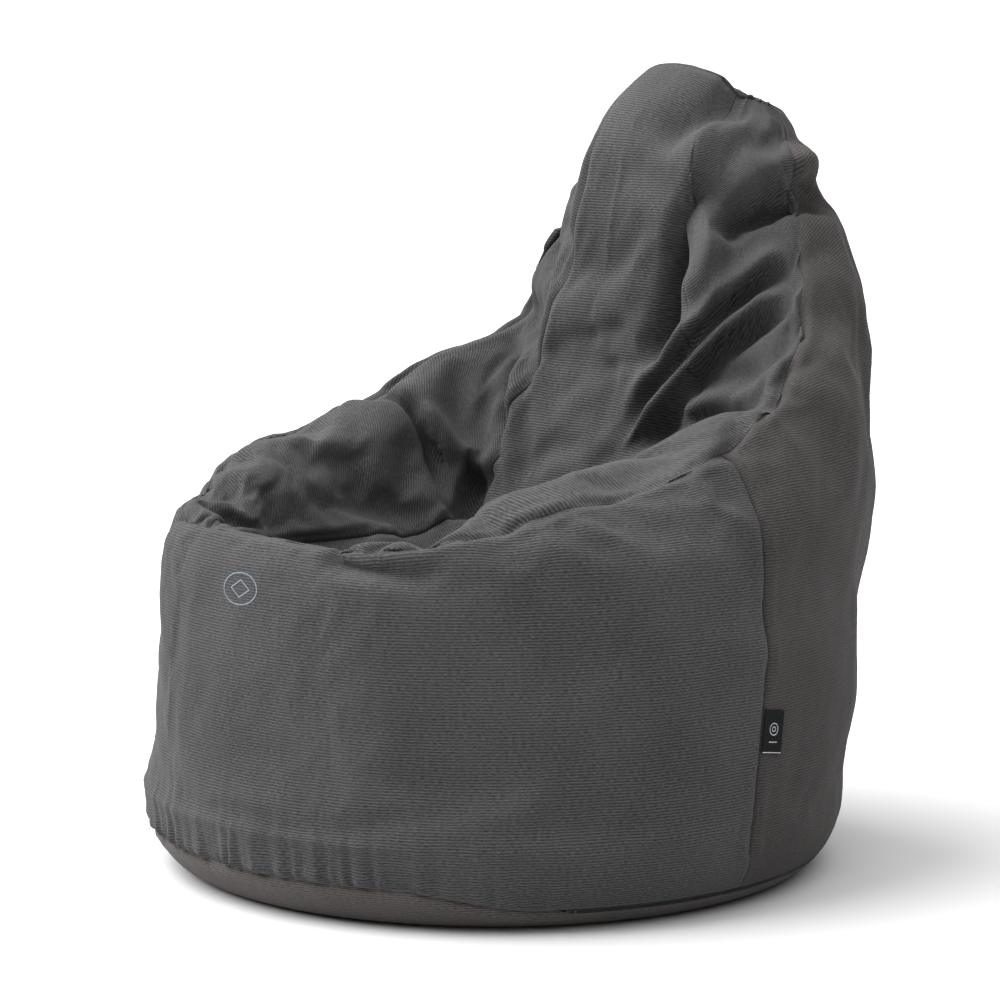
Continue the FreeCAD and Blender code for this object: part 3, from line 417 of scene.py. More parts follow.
# (Surface, line, width, height, lip), in millimetres.
BROAD_FOLDS = [
    # The arms' full, rolled tops inside the crest seam.
    ("strip", [
        (155, -268, 382), (188, -212, 388), (218, -105, 410), (230, 42, 440), (222, 118, 480),
        (200, 168, 515),
    ], 58, 52, 0),
    ("strip", [
        (-165, -275, 385), (-200, -215, 392), (-232, -105, 415), (-246, 45, 448), (-238, 128, 492),
        (-205, 185, 545),
    ], 42, 18, 0),
    # The deep valley beside the backrest, and the soft rolls that fan up from the seat to the left side.
    ("strip", [
        (100, 250, 760), (80, 220, 700), (70, 205, 630), (68, 195, 570), (58, 183, 515),
    ], 16, -46, 0),
    ("strip", [(128, 262, 735), (112, 238, 690), (104, 222, 640), (96, 207, 597)], 16, 22, 0),
    ("strip", [
        (205, 292, 685), (160, 270, 650), (130, 230, 615), (110, 195, 575), (70, 185, 530),
        (30, 170, 465),
    ], 15, 28, 0),
    ("strip", [
        (208, 281, 656), (165, 258, 635), (135, 220, 597), (112, 190, 553), (65, 183, 503),
        (28, 165, 440),
    ], 10, -36, -7),
    ("strip", [
        (218, 272, 632), (172, 250, 608), (142, 215, 578), (115, 190, 543), (70, 180, 485),
        (25, 158, 432),
    ], 13, 25, 0),
    ("strip", [
        (222, 260, 608), (178, 240, 588), (148, 210, 556), (120, 183, 518), (80, 173, 468),
        (32, 155, 422),
    ], 10, -30, -5),
    ("strip", [(112, 182, 500), (140, 194, 528), (170, 208, 537), (212, 210, 534)], 9, -15, 0),
    ("strip", [(100, 178, 485), (135, 186, 505), (170, 195, 510), (215, 200, 505)], 10, 11, 0),
    ("strip", [(55, 170, 455), (115, 175, 478), (165, 182, 484), (205, 185, 478)], 9, -15, 0),
    # Head: two lobes with a soft valley between them, and the pocket below the left one.
    ("both", [(15, 235, 770), (40, 260, 808), (66, 300, 832), (85, 345, 832)], 26, -24, 0),
    ("both", [
        (108, 236, 668), (122, 268, 700), (137, 300, 716), (158, 338, 722), (166, 380, 712),
    ], 19, -32, 0),
    ("both", [(100, 262, 718), (116, 292, 752), (140, 334, 756), (152, 372, 752)], 22, 27, 0),
    # Right arm: one long fold over the crest into the seat, and the pinch at its foot.
    ("strip", [
        (-278, 95, 500), (-245, 108, 470), (-215, 115, 435), (-200, 112, 405), (-188, 100, 378),
    ], 14, -6, -18),
    ("strip", [(-245, 118, 470), (-205, 130, 435), (-165, 150, 408)], 13, 20, 0),
    ("strip", [(-172, 148, 412), (-166, 128, 380), (-155, 100, 345)], 15, -32, 0),
    ("strip", [
        (-195, 225, 590), (-158, 200, 535), (-140, 178, 480), (-125, 155, 415), (-108, 128, 368),
    ], 13, 18, 0),
    ("strip", [(-215, 232, 590), (-178, 206, 538), (-160, 184, 485), (-145, 162, 420)], 12, -14, 0),
    # Front rim: the soft dip where the left arm's fold runs into the front.
    ("both", [
        (95, -350, 388), (125, -345, 383), (160, -340, 378), (200, -322, 374), (235, -295, 370),
    ], 14, -18, 0),
    ("wall", [(215, -240, 385), (285, -190, 380), (335, -90, 370), (365, 20, 355)], 26, 7, 0),
    ("wall", [(250, 300, 560), (300, 240, 475), (335, 180, 390)], 22, 9, 0),
    ("wall", [(225, 325, 590), (275, 262, 505), (315, 200, 410)], 16, -9, 0),
]


# --------------------------------------------------------------------------------------------------------
# Filling the cover: a cloth simulation with the beads' pressure inside gives the slumped, folded form the
# slack, wrinkled look of fabric. The base, the zip's surroundings and the side label's are held still.
# --------------------------------------------------------------------------------------------------------

FABRIC_SHRINKAGE = -0.08  # below zero: the cloth is cut 8 % larger than the form
SIM_FRAMES = 24
HELD_LEAST = 0.12  # how much the cloth is held everywhere, so that it keeps near the form
SWELLING_OUT, SWELLING_ROUNDS = 0.9, 60  # share of the even swelling that is taken out again
MOST_MOVED = 0.012
WRINKLE_GAIN = 1.1
WALL_SLACK, HIGH_WALL_SLACK, SEAT_SLACK, ARM_SLACK = 0.22, 0.45, 0.7, 1.35  # share of the wrinkles kept

# Heights below which the foot, the zip's surroundings and what lies on the floor are held, and how high up
# each fades in; and how far from its place the side label's surroundings are.
FOOT_TOP, FOOT_FADE = 95 * MM, 60 * MM
ZIP_TOP, ZIP_FADE = 75 * MM, 40 * MM
LYING_TOP, LYING_FADE = 30 * MM, 22 * MM
FLAG_PLACE, FLAG_REACH = np.array([388, 20, 190]) * MM, 34 * MM


def stillness(place):
    """1 where the fabric keeps its sewn shape: on the floor, round the zip and under the side label.

    The foot keeps half of it.
    """
    degrees = np.degrees(np.arctan2(place[:, 0], -place[:, 1])) % 360
    foot = smooth((FOOT_TOP - place[:, 2]) / FOOT_FADE)
    zipped = between(degrees, ZIP_START - 5, ZIP_END + 5, 12) * smooth((ZIP_TOP - place[:, 2]) / ZIP_FADE)
    lying = smooth((LYING_TOP - place[:, 2]) / LYING_FADE)
    flag = smooth(2 - np.linalg.norm(place - FLAG_PLACE, axis=1) / FLAG_REACH)
    return np.clip(np.maximum.reduce([0.5 * foot, zipped, lying, flag]), 0, 1)


def plain_mesh(name, place, faces):
    mesh = bpy.data.meshes.new(name)
    mesh.from_pydata(place.tolist(), [], faces.tolist())
    mesh.polygons.foreach_set("use_smooth", [True] * len(mesh.polygons))
    return mesh


def points_of(mesh):
    flat = np.empty(len(mesh.vertices) * 3)
    mesh.vertices.foreach_get("co", flat)
    return flat.reshape(-1, 3)


net_edges = np.concatenate([quads[:, [k, (k + 1) % 4]] for k in range(4)])
net_edges = np.unique(np.sort(net_edges, axis=1), axis=0)
one_way = np.concatenate([net_edges, net_edges[:, ::-1]])
neighbours = np.bincount(one_way[:, 0], minlength=len(points))[:, None]


def eased(values, rounds):
    """Values on the net's points, each drawn to the middle of its neighbours."""
    for _ in range(rounds):
        total = [np.bincount(one_way[:, 0], column[one_way[:, 1]], len(points)) for column in values.T]
        values = 0.5 * values + 0.5 * np.stack(total, -1) / neighbours
    return values


def settled(place):
    """The points after the cloth simulation, each moved at most MOST_MOVED."""
    bag = bpy.data.objects.new("bag_in_simulation", plain_mesh("bag_in_simulation", place, quads))
    bpy.context.scene.collection.objects.link(bag)
    held = bag.vertex_groups.new(name="held")
    for index, weight in enumerate(HELD_LEAST + (1 - HELD_LEAST) * stillness(place)):
        held.add([index], float(weight), "REPLACE")
    cloth = bag.modifiers.new("filled with beads", "CLOTH").settings
    cloth.quality = 4
    cloth.mass = 0.25
    cloth.tension_stiffness = cloth.compression_stiffness = 18
    cloth.shear_stiffness = 8
    cloth.bending_stiffness = 0.4
    cloth.use_pressure = True
    cloth.uniform_pressure_force = 1.5
    cloth.shrink_min = FABRIC_SHRINKAGE
    cloth.vertex_group_mass = "held"
    cloth.effector_weights.gravity = 0.15
    for number in range(1, SIM_FRAMES + 1):
        bpy.context.scene.frame_set(number)
    moved = points_of(bag.evaluated_get(bpy.context.evaluated_depsgraph_get()).data) - place
    bpy.context.scene.frame_set(1)
    bpy.data.objects.remove(bag)
    # The even swelling is already in the sewn shape; the wrinkles stay.
    moved -= SWELLING_OUT * eased(moved, SWELLING_ROUNDS)
    loose = WALL_SLACK + HIGH_WALL_SLACK * smooth((place[:, 2:] - 0.33) / 0.2)
    strip_loose = np.where(np.abs(np.tile(w_nodes, last_t + 1)) > SEAT_PANEL_SHARE, ARM_SLACK, SEAT_SLACK)
    loose[: len(strip_loose), 0] = strip_loose
    moved *= WRINKLE_GAIN * eased(loose, 12)
    length = np.linalg.norm(moved, axis=1, keepdims=True)
    share = MOST_MOVED * np.tanh(length / MOST_MOVED) / np.maximum(length, 1e-9)
    return place + moved * share * (1 - stillness(place))[:, None]


on_strip_now = on_strip
sewn_still = stillness(points)
slumped = pushed(points)
slumped = folded(slumped, mesh_normals(slumped, quads), BROAD_FOLDS)
slumped = points + (slumped - points) * (1 - sewn_still)[:, None]
filled_points = settled(slumped)


# --------------------------------------------------------------------------------------------------------
# The cover's close shape, on a finer net: sharp creases between the folds, the seams drawn in between
# rolled edges, the gathers above the base seam, and the hems that stand apart along the zip.
# --------------------------------------------------------------------------------------------------------

# (Surface, line, width, height, lip), in millimetres.
FINE_FOLDS = [
    ("strip", [
        (90, 235, 725), (76, 213, 680), (70, 205, 620), (70, 195, 572), (64, 187, 528),
    ], 7, -10, 0),
    ("strip", [
        (200, 281, 657), (165, 262, 642), (135, 222, 601), (110, 190, 556), (65, 185, 505),
        (15, 155, 418),
    ], 5, -8, 0),
    ("strip", [
        (218, 262, 622), (178, 246, 602), (145, 215, 566), (120, 185, 525), (80, 175, 475),
        (36, 160, 430),
    ], 5, -7, 0),
    ("strip", [(118, 183, 503), (140, 195, 528), (168, 207, 537), (208, 206, 531)], 7, -5, 0),
    ("strip", [(15, 160, 430), (60, 170, 455), (115, 175, 475), (185, 180, 472)], 8, -5, 0),
    ("both", [
        (118, 248, 672), (125, 272, 703), (136, 300, 720), (152, 335, 732), (150, 368, 722),
    ], 8, -10, 0),
    ("both", [(28, 250, 800), (55, 275, 822), (76, 305, 832), (88, 335, 832)], 8, -6, 0),
    ("strip", [(80, 265, 800), (90, 295, 812), (100, 325, 818)], 5, -4, 0),
    ("both", [(108, 341, 812), (128, 336, 778), (140, 318, 742)], 6, -5, 0),
    ("strip", [(-35, 270, 825), (-25, 235, 765), (-25, 215, 695), (-30, 205, 620)], 4, 2, 0),
    ("strip", [(-60, 190, 555), (-15, 195, 570), (25, 195, 580)], 9, -4, 0),
    ("strip", [(-25, 185, 525), (15, 190, 535), (60, 190, 540)], 9, -4, 0),
    ("strip", [
        (-185, 245, 590), (-155, 205, 535), (-140, 180, 480), (-125, 155, 415), (-110, 130, 370),
    ], 6, -5, 4),
    ("strip", [
        (-275, 105, 495), (-245, 110, 470), (-215, 115, 435), (-200, 115, 410), (-190, 100, 380),
    ], 6, -6, -5),
    ("strip", [(-240, 115, 465), (-205, 130, 435), (-165, 150, 410)], 6, -6, 3),
    ("strip", [(-172, 147, 408), (-165, 125, 375), (-155, 100, 345)], 8, -10, 0),
    ("strip", [(-200, 15, 370), (-185, 30, 345), (-170, 40, 330)], 6, -4, 0),
    ("strip", [(-255, 20, 440), (-230, 5, 405), (-205, -5, 370)], 6, -4, 0),
    ("strip", [(-205, -245, 400), (-180, -280, 385)], 5, -3, 0),
    ("strip", [(-210, -210, 400), (-160, -245, 375)], 6, -3.5, 0),
    ("strip", [(-220, -175, 400), (-175, -200, 365)], 6, -3, 0),
    ("both", [
        (118, -340, 386), (155, -336, 379), (180, -330, 375), (205, -312, 374), (232, -290, 369),
    ], 6, -11, 4),
    ("wall", [(270, -170, 420), (305, -140, 400), (335, -100, 375)], 9, 5, 0),
    ("wall", [(290, 0, 450), (330, -10, 425), (355, 30, 390)], 9, 5, 0),
    ("both", [
        (214, 262, 618), (214, 245, 595), (246, 202, 556), (236, 195, 540), (245, 165, 518),
    ], 6, -7, 0),
    ("wall", [(255, 275, 580), (315, 215, 475), (345, 165, 390), (360, 125, 355)], 5, 3, 0),
    ("wall", [(190, 320, 675), (215, 335, 630), (225, 350, 580)], 8, -4, 0),
]
SEAM_DEPTH, SEAM_WIDTH = 0.0026, 0.0042
SEAM_ROLL, ROLL_PLACE, ROLL_WIDTH, ROLL_BUMPS = 0.0016, 0.011, 0.006, 0.018
GATHER_HEIGHT, GATHER_PITCH, GATHER_REACH = 0.0050, 0.021, 0.030
LUMP_HEIGHT, LUMP_SIZE = 0.0011, 0.045
CRUMPLE_HEIGHT, CRUMPLE_SIZE = 0.0004, 0.014
UNDER_FLAG = 0.045  # round the side label, no seam roll stands up
COVER_HEM_GAP, HEM_REACH = 0.0084, 0.014  # opening between the hems along the zip, and what it draws back

whole = bpy.data.objects.new("whole_cover", plain_mesh("whole_cover", filled_points, quads))
bpy.context.scene.collection.objects.link(whole)
cloth_map = whole.data.uv_layers.new(name="cloth")
cloth_map.data.foreach_set("uv", quad_uv.ravel())
whole.data.polygons.foreach_set("material_index", quad_panel)
for name in PANELS:
    whole.data.materials.append(bpy.data.materials.new(f"{name}_slot"))
finer = whole.modifiers.new("finer", "SUBSURF")
finer.levels = finer.render_levels = 1
finer.uv_smooth = "NONE"
fine_mesh = bpy.data.meshes.new_from_object(whole.evaluated_get(bpy.context.evaluated_depsgraph_get()))
bpy.data.objects.remove(whole)

fine_points = points_of(fine_mesh)
fine_faces = np.empty(len(fine_mesh.polygons) * 4, int)
fine_mesh.polygons.foreach_get("vertices", fine_faces)
fine_faces = fine_faces.reshape(-1, 4)
fine_panel = np.empty(len(fine_faces), int)
fine_mesh.polygons.foreach_get("material_index", fine_panel)
fine_uv = np.empty(len(fine_faces) * 8)
fine_mesh.uv_layers["cloth"].data.foreach_get("uv", fine_uv)
fine_uv = fine_uv.reshape(-1, 4, 2)

touches = np.zeros((len(fine_points), len(PANELS)), bool)
for corner in range(4):
    touches[fine_faces[:, corner], fine_panel] = True
on_seam = touches.sum(axis=1) > 1
on_strip_now = touches[:, :FRONT].any(axis=1)


def distance_to(place, targets):
    """Each point's distance to the nearest of some targets, and which it is."""
    tree = KDTree(len(targets))
    for index, target in enumerate(targets):
        tree.insert(target, index)
    tree.balance()
    found = [tree.find(point) for point in place]
    return np.array([f[2] for f in found]), np.array([f[1] for f in found])


def seam_between(first, second):
    return fine_points[touches[:, first].any(axis=1) & touches[:, second].any(axis=1)]


STRIP_PANELS, WALL_PANELS = [SEAT, LEFT_ARM, RIGHT_ARM], [FRONT, BACK]
crest_distance, _ = distance_to(fine_points, seam_between(STRIP_PANELS, WALL_PANELS))
base_distance, _ = distance_to(fine_points, seam_between([BASE], WALL_PANELS))
seam_distance, _ = distance_to(fine_points, fine_points[on_seam])
fine_normal = mesh_normals(fine_points, fine_faces)
calm = 1 - stillness(fine_points)

creased = folded(fine_points, fine_normal, FINE_FOLDS) - fine_points
creased *= (calm * (0.35 + 0.65 * smooth(crest_distance / 0.02)))[:, None]

degrees = np.degrees(np.arctan2(fine_points[:, 0], -fine_points[:, 1])) % 360
zip_share = between(degrees, ZIP_START + 5, ZIP_END - 5, 3)


def bumps(place, size, seed):
    """Soft random bumps from -1 to 1, of about that size in metres."""
    shift = Vector((seed * 7.3, seed * 3.1, seed * 5.7))
    return np.array([noise.noise(Vector(p) / size + shift) for p in place])


round_base = np.stack([np.radians(degrees) * 0.36, degrees * 0, degrees * 0], -1)
gather_wave = bumps(round_base, GATHER_PITCH / 2, 1)
above_seam = smooth(base_distance / 0.006) * np.exp(-base_distance / GATHER_REACH)
above_seam = above_seam * (fine_points[:, 2] > 0.03)
on_wall = touches[:, WALL_PANELS].any(axis=1)
gathers = gather_wave * above_seam * GATHER_HEIGHT * 2 * (1 - zip_share) * on_wall
seam_pull = -SEAM_DEPTH * np.exp(-((seam_distance / SEAM_WIDTH) ** 2))
beside_seam = np.exp(-(((seam_distance - ROLL_PLACE) / ROLL_WIDTH) ** 2))
seam_pull += SEAM_ROLL * beside_seam * (1 + 0.6 * bumps(fine_points, ROLL_BUMPS, 2))
seam_pull *= np.where(fine_points[:, 2] < 0.06, 1 - zip_share, 1)
# The seam between the backrest and the left arm lies flat in its valley.
in_valley = (crest_distance > 0.03) & (fine_points[:, 0] > 0.04) & (fine_points[:, 2] > 0.45) & on_strip_now
seam_pull = np.where(in_valley, 0.3 * seam_pull, seam_pull)
seam_pull *= 1 - 0.7 * smooth((fine_points[:, 2] - 0.75) / 0.04)  # and lies flatter over the head
under_flag = np.linalg.norm(fine_points - FLAG_PLACE, axis=1) < UNDER_FLAG
seam_pull = np.where(under_flag, np.minimum(seam_pull, 0), seam_pull)
lumps = LUMP_HEIGHT * bumps(fine_points, LUMP_SIZE, 3)
lumps = lumps + CRUMPLE_HEIGHT * bumps(fine_points, CRUMPLE_SIZE, 4)
fine_shape = fine_points + creased + fine_normal * (gathers + seam_pull + lumps * calm)[:, None]
fine_shape[:, 2] = np.maximum(fine_shape[:, 2], 0)

# The hems draw back from the zip along the cover.
up_cover = np.cross(np.cross(fine_normal, [0.0, 0.0, 1.0]), fine_normal)
up_cover /= np.maximum(np.linalg.norm(up_cover, axis=1, keepdims=True), 1e-9)
hem_shift = COVER_HEM_GAP / 2 * np.exp(-((base_distance / HEM_REACH) ** 2)) * zip_share
hem_way = {BASE: -1, BACK: 1, FRONT: 1}

COVER_THICKNESS = 0.0015
cover_bvh = BVHTree.FromPolygons(fine_shape.tolist(), fine_faces.tolist())


def cloth_piece(name, place, faces, uv, thickness):
    """A sewn panel as an object: its own part of a net, given its thickness inwards."""
    used, faces_own = np.unique(faces, return_inverse=True)
    faces_own = faces_own.reshape(faces.shape)
    mesh = bpy.data.meshes.new(name)
    mesh.from_pydata(place[used].tolist(), [], faces_own.tolist())
    mesh.polygons.foreach_set("use_smooth", [True] * len(mesh.polygons))
    layer = mesh.uv_layers.new(name="cloth")
    layer.data.foreach_set("uv", uv.ravel())
    piece = bpy.data.objects.new(name, mesh)
    bpy.context.scene.collection.objects.link(piece)
    wall_of = piece.modifiers.new("fabric thickness", "SOLIDIFY")
    wall_of.thickness = thickness
    wall_of.offset = -1
    solid = bpy.data.meshes.new_from_object(piece.evaluated_get(bpy.context.evaluated_depsgraph_get()))
    piece.modifiers.clear()
    piece.data = solid
    solid.name = name
    bpy.data.meshes.remove(mesh)
    return piece


# --------------------------------------------------------------------------------------------------------
# The cover's panels, sewn from rib-woven polyester: matt, with fine ribs across the panel, charcoal flecked
# with lighter threads, and a faint bloom where it turns away. The ribs are drawn 3.1 mm apart, which is
# coarser than the real cloth, so that they show. Each panel is its own part of the finer net, 1.5 mm thick.
# --------------------------------------------------------------------------------------------------------


def linear(hex_colour):
    """An sRGB hex colour as linear RGBA."""
    parts = [int(hex_colour[i : i + 2], 16) / 255 for i in (1, 3, 5)]
    return (*(p / 12.92 if p <= 0.04045 else ((p + 0.055) / 1.055) ** 2.4 for p in parts), 1.0)


def add(tree, kind, inputs=None, **settings):
    """A node with its settings; an input is a value or another node's output."""
    made = tree.nodes.new(kind)
    for name, value in settings.items():
        setattr(made, name, value)
    for name, value in (inputs or {}).items():
        if isinstance(value, bpy.types.NodeSocket):
            tree.links.new(value, made.inputs[name])
        else:
            made.inputs[name].default_value = value
    return made


def blended(tree, share, first, second):
    """A colour between two, by a share from 0 to 1."""
    colours = {0: share, 6: linear(first), 7: linear(second)}
    return add(tree, "ShaderNodeMix", colours, data_type="RGBA").outputs[2]


def surface(name, roughness, **values):
    """A new material's tree and its main shader, with the values that are the same all over."""
    material = bpy.data.materials.new(name)
    material.use_nodes = True
    shader = material.node_tree.nodes["Principled BSDF"]
    shader.inputs["Roughness"].default_value = roughness
    for socket, value in values.items():
        shader.inputs[socket.replace("_", " ")].default_value = value
    return material, material.node_tree, shader


RIB_PITCH = 0.0031
THREAD_LENGTH, THREAD_PITCH = 0.0045, 0.0013
WAVE_PERIOD = math.pi / 10  # of a wave texture at scale 1, in its own units


def rib_weave(name, dark, light, roughness=0.92, pitch=RIB_PITCH):
    material, tree, shader = surface(
        name, roughness, IOR=1.5, Specular_IOR_Level=0.12, Sheen_Weight=0.06, Sheen_Roughness=0.5
    )
    place = add(tree, "ShaderNodeUVMap", uv_map="cloth").outputs["UV"]
    sway = add(tree, "ShaderNodeTexNoise", {"Vector": place, "Scale": 22.0, "Detail": 2.0}).outputs["Color"]
    swayed = add(tree, "ShaderNodeMix", {0: 0.0012, 4: place, 5: sway}, data_type="VECTOR").outputs[1]
    ribs = add(
        tree,
        "ShaderNodeTexWave",
        {
            "Vector": swayed,
            "Scale": WAVE_PERIOD / pitch,
            "Distortion": 0.35,
            "Detail": 2.0,
            "Detail Scale": 30.0,
        },
        bands_direction="Y",
    ).outputs["Fac"]
    along = add(
        tree, "ShaderNodeMapping", {"Vector": place, "Scale": (1 / THREAD_LENGTH, 1 / THREAD_PITCH, 1.0)}
    ).outputs["Vector"]
    threads = add(tree, "ShaderNodeTexNoise", {"Vector": along, "Scale": 1.0, "Detail": 3.0}).outputs["Fac"]
    wear = add(tree, "ShaderNodeTexNoise", {"Vector": place, "Scale": 7.0, "Detail": 3.0}).outputs["Fac"]
    fleck = add(tree, "ShaderNodeMath", {0: threads, 1: 0.62}, operation="MULTIPLY").outputs[0]
    fleck = add(tree, "ShaderNodeMath", {0: ribs, 1: 0.2, 2: fleck}, operation="MULTIPLY_ADD").outputs[0]
    fleck = add(tree, "ShaderNodeMath", {0: wear, 1: 0.22, 2: fleck}, operation="MULTIPLY_ADD").outputs[0]
    ramp = add(tree, "ShaderNodeValToRGB", {"Fac": fleck})
    for stop, position, colour in zip(ramp.color_ramp.elements, (0.36, 0.72), (dark, light)):
        stop.position, stop.color = position, linear(colour)
    tree.links.new(ramp.outputs["Color"], shader.inputs["Base Color"])
    height = add(tree, "ShaderNodeMath", {0: threads, 1: 0.5, 2: ribs}, operation="MULTIPLY_ADD").outputs[0]
    relief = add(tree, "ShaderNodeBump", {"Height": height, "Strength": 0.55, "Distance": 0.0007})
    tree.links.new(relief.outputs["Normal"], shader.inputs["Normal"])
    return material


charcoal_rib = rib_weave("charcoal_rib_polyester", "#272728", "#515152")
back_rib = rib_weave("charcoal_rib_polyester_back", "#292727", "#4a4746")
base_rib = rib_weave("charcoal_base_canvas", "#343130", "#5f5b59", 0.9, 0.0028)
panel_finish = {BACK: (back_rib, "back_fabric"), BASE: (base_rib, "base_fabric")}


for panel, node_name in enumerate(PANELS):
    mine = fine_panel == panel
    shape = fine_shape + up_cover * (hem_shift * hem_way.get(panel, 0))[:, None]
    piece = cloth_piece(f"sewn_{node_name}", shape, fine_faces[mine], fine_uv[mine], COVER_THICKNESS)
    finish, slot_name = panel_finish.get(panel, (charcoal_rib, "cover_fabric"))
    piece.data.materials.clear()
    piece.data.materials.append(finish)
    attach(piece, "bag")
    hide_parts(node_name)


# --------------------------------------------------------------------------------------------------------
# The inner bag of downproof polypropylene cloth and the foam beads in it. Both follow the cover's folds
# from inside. The inner bag is cut in four pieces with a short zip of its own at the back.
# --------------------------------------------------------------------------------------------------------

LINER_DEPTH, LINER_THICKNESS = 0.0054, 0.0006
LINER_REST, BEAD_REST = 0.0022, 0.0035
BEAD_DEPTH = 0.0115

# Both are found from a smoother shape, by going outwards from deep inside it until the cover is met.
CORE_ROUNDS, INSIDE_REACH, MOST_SHARE = 14, 0.036, 0.4
inner_shape = fine_shape[: len(points)]  # the finer net keeps the first net's points first
core = eased(inner_shape, CORE_ROUNDS)
core_normal = mesh_normals(core, quads)
core_bvh = BVHTree.FromPolygons(core.tolist(), quads.tolist())
reach = np.full(len(core), INSIDE_REACH)
# The start is less deep where the far side is near.
for index, (place, out) in enumerate(zip(core, core_normal)):
    hit = core_bvh.ray_cast(Vector(place - out * 0.002), Vector(-out), INSIDE_REACH / MOST_SHARE)
    if hit[0] is not None:
        reach[index] = MOST_SHARE * hit[3]
reach = eased(reach[:, None], 4)[:, 0]
core -= core_normal * reach[:, None]
for index, (place, out) in enumerate(zip(core, core_normal)):
    hit = cover_bvh.ray_cast(Vector(place), Vector(out), 2 * INSIDE_REACH)
    if hit[0] is not None:
        reach[index] = hit[3]


def least_nearby(values, rounds):
    """Each point's least value among itself and its neighbours."""
    for _ in range(rounds):
        least = values.copy()
        np.minimum.at(least, one_way[:, 0], values[one_way[:, 1]])
        values = least
    return values


reach = least_nearby(reach, 3)
reach = np.minimum(reach, eased(reach[:, None], 2)[:, 0])
STEP_IN, MOST_STEPS = 0.007, 7
# Where an edge of the lining would cut through the cover, it goes deeper.
for _ in range(MOST_STEPS):
    net = core + core_normal * (reach - LINER_DEPTH)[:, None]
    ends = net[net_edges]
    ways = ends[:, 1] - ends[:, 0]
    spans = np.linalg.norm(ways, axis=1)
    cut = [
        cover_bvh.ray_cast(Vector(a), Vector(way), span)[0] is not None
        for a, way, span in zip(ends[:, 0], ways, spans)
    ]
    if not any(cut):
        break
    deeper = np.zeros(len(core))
    deeper[net_edges[cut].ravel()] = 1.0
    reach = reach - STEP_IN * -least_nearby(-deeper, 2)


def lining(depth, rest):
    place = core + core_normal * (reach - depth)[:, None]
    place[:, 2] = np.maximum(place[:, 2], rest)
    return place


liner_shape = lining(LINER_DEPTH, LINER_REST)
bead_shape = lining(BEAD_DEPTH, BEAD_REST)

# Polypropylene spunbond: a thin, slightly shiny off-white cloth with a pressed dot pattern.
spunbond, tree, shader = surface("white_spunbond_polypropylene", 0.6, IOR=1.49, Sheen_Weight=0.1)
place = add(tree, "ShaderNodeUVMap", uv_map="cloth").outputs["UV"]
dots = add(tree, "ShaderNodeTexVoronoi", {"Vector": place, "Scale": 450.0}).outputs["Distance"]
tone = blended(tree, dots, "#dcdcd8", "#f0f0ec")
tree.links.new(tone, shader.inputs["Base Color"])
relief = add(tree, "ShaderNodeBump", {"Height": dots, "Strength": 0.4, "Distance": 0.0003})
tree.links.new(relief.outputs["Normal"], shader.inputs["Normal"])

liner_parts = {
    "liner_top_panel": [SEAT, LEFT_ARM, RIGHT_ARM],
    "liner_front_panel": [FRONT],
    "liner_back_panel": [BACK],
    "liner_base_panel": [BASE],
}
for node_name, group in liner_parts.items():
    mine = np.isin(quad_panel, group)
    piece = cloth_piece(f"inner_{node_name}", liner_shape, quads[mine], quad_uv[mine], LINER_THICKNESS)
    piece.data.materials.clear()
    piece.data.materials.append(spunbond)
    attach(piece, "bag")
    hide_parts(node_name)

# Expanded polystyrene beads, 4 to 6 mm: white, matt and faintly translucent, packed against the cloth.
eps_beads, tree, shader = surface("white_polystyrene_beads", 0.55, IOR=1.55)
place = add(tree, "ShaderNodeTexCoord").outputs["Object"]
cells = add(tree, "ShaderNodeTexVoronoi", {"Vector": place, "Scale": 200.0}).outputs["Distance"]
# Each bead's colour is made darker towards the edge of its cell: painted shade where the beads meet.
tone = blended(tree, cells, "#f6f6f4", "#d2d2ce")
tree.links.new(tone, shader.inputs["Base Color"])
relief = add(tree, "ShaderNodeBump", {"Height": cells, "Strength": 1.0, "Distance": -0.002})
tree.links.new(relief.outputs["Normal"], shader.inputs["Normal"])
beads = bpy.data.objects.new("settled_beads", plain_mesh("settled_beads", bead_shape, quads))
bpy.context.scene.collection.objects.link(beads)
beads.data.materials.append(eps_beads)
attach(beads, "bag")
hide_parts("bead_fill")


# --------------------------------------------------------------------------------------------------------
# The zip in the base seam: two rows of nylon coil on woven polyester tapes, with a metal stop at each end
# and a metal slider and pull. The coils are wound here, and the rest keeps its shape in the frame. So does
# the inner bag's whole zip.
# --------------------------------------------------------------------------------------------------------

COIL_PITCH, COIL_WIRE, COIL_WIDTH, COIL_GAP, COIL_SINK = 0.0015, 0.0012, 0.0026, 0.0012, 0.00065
ZIP_FIRST, ZIP_LAST, STOP_TURN = 58, 172, 0.6  # degrees


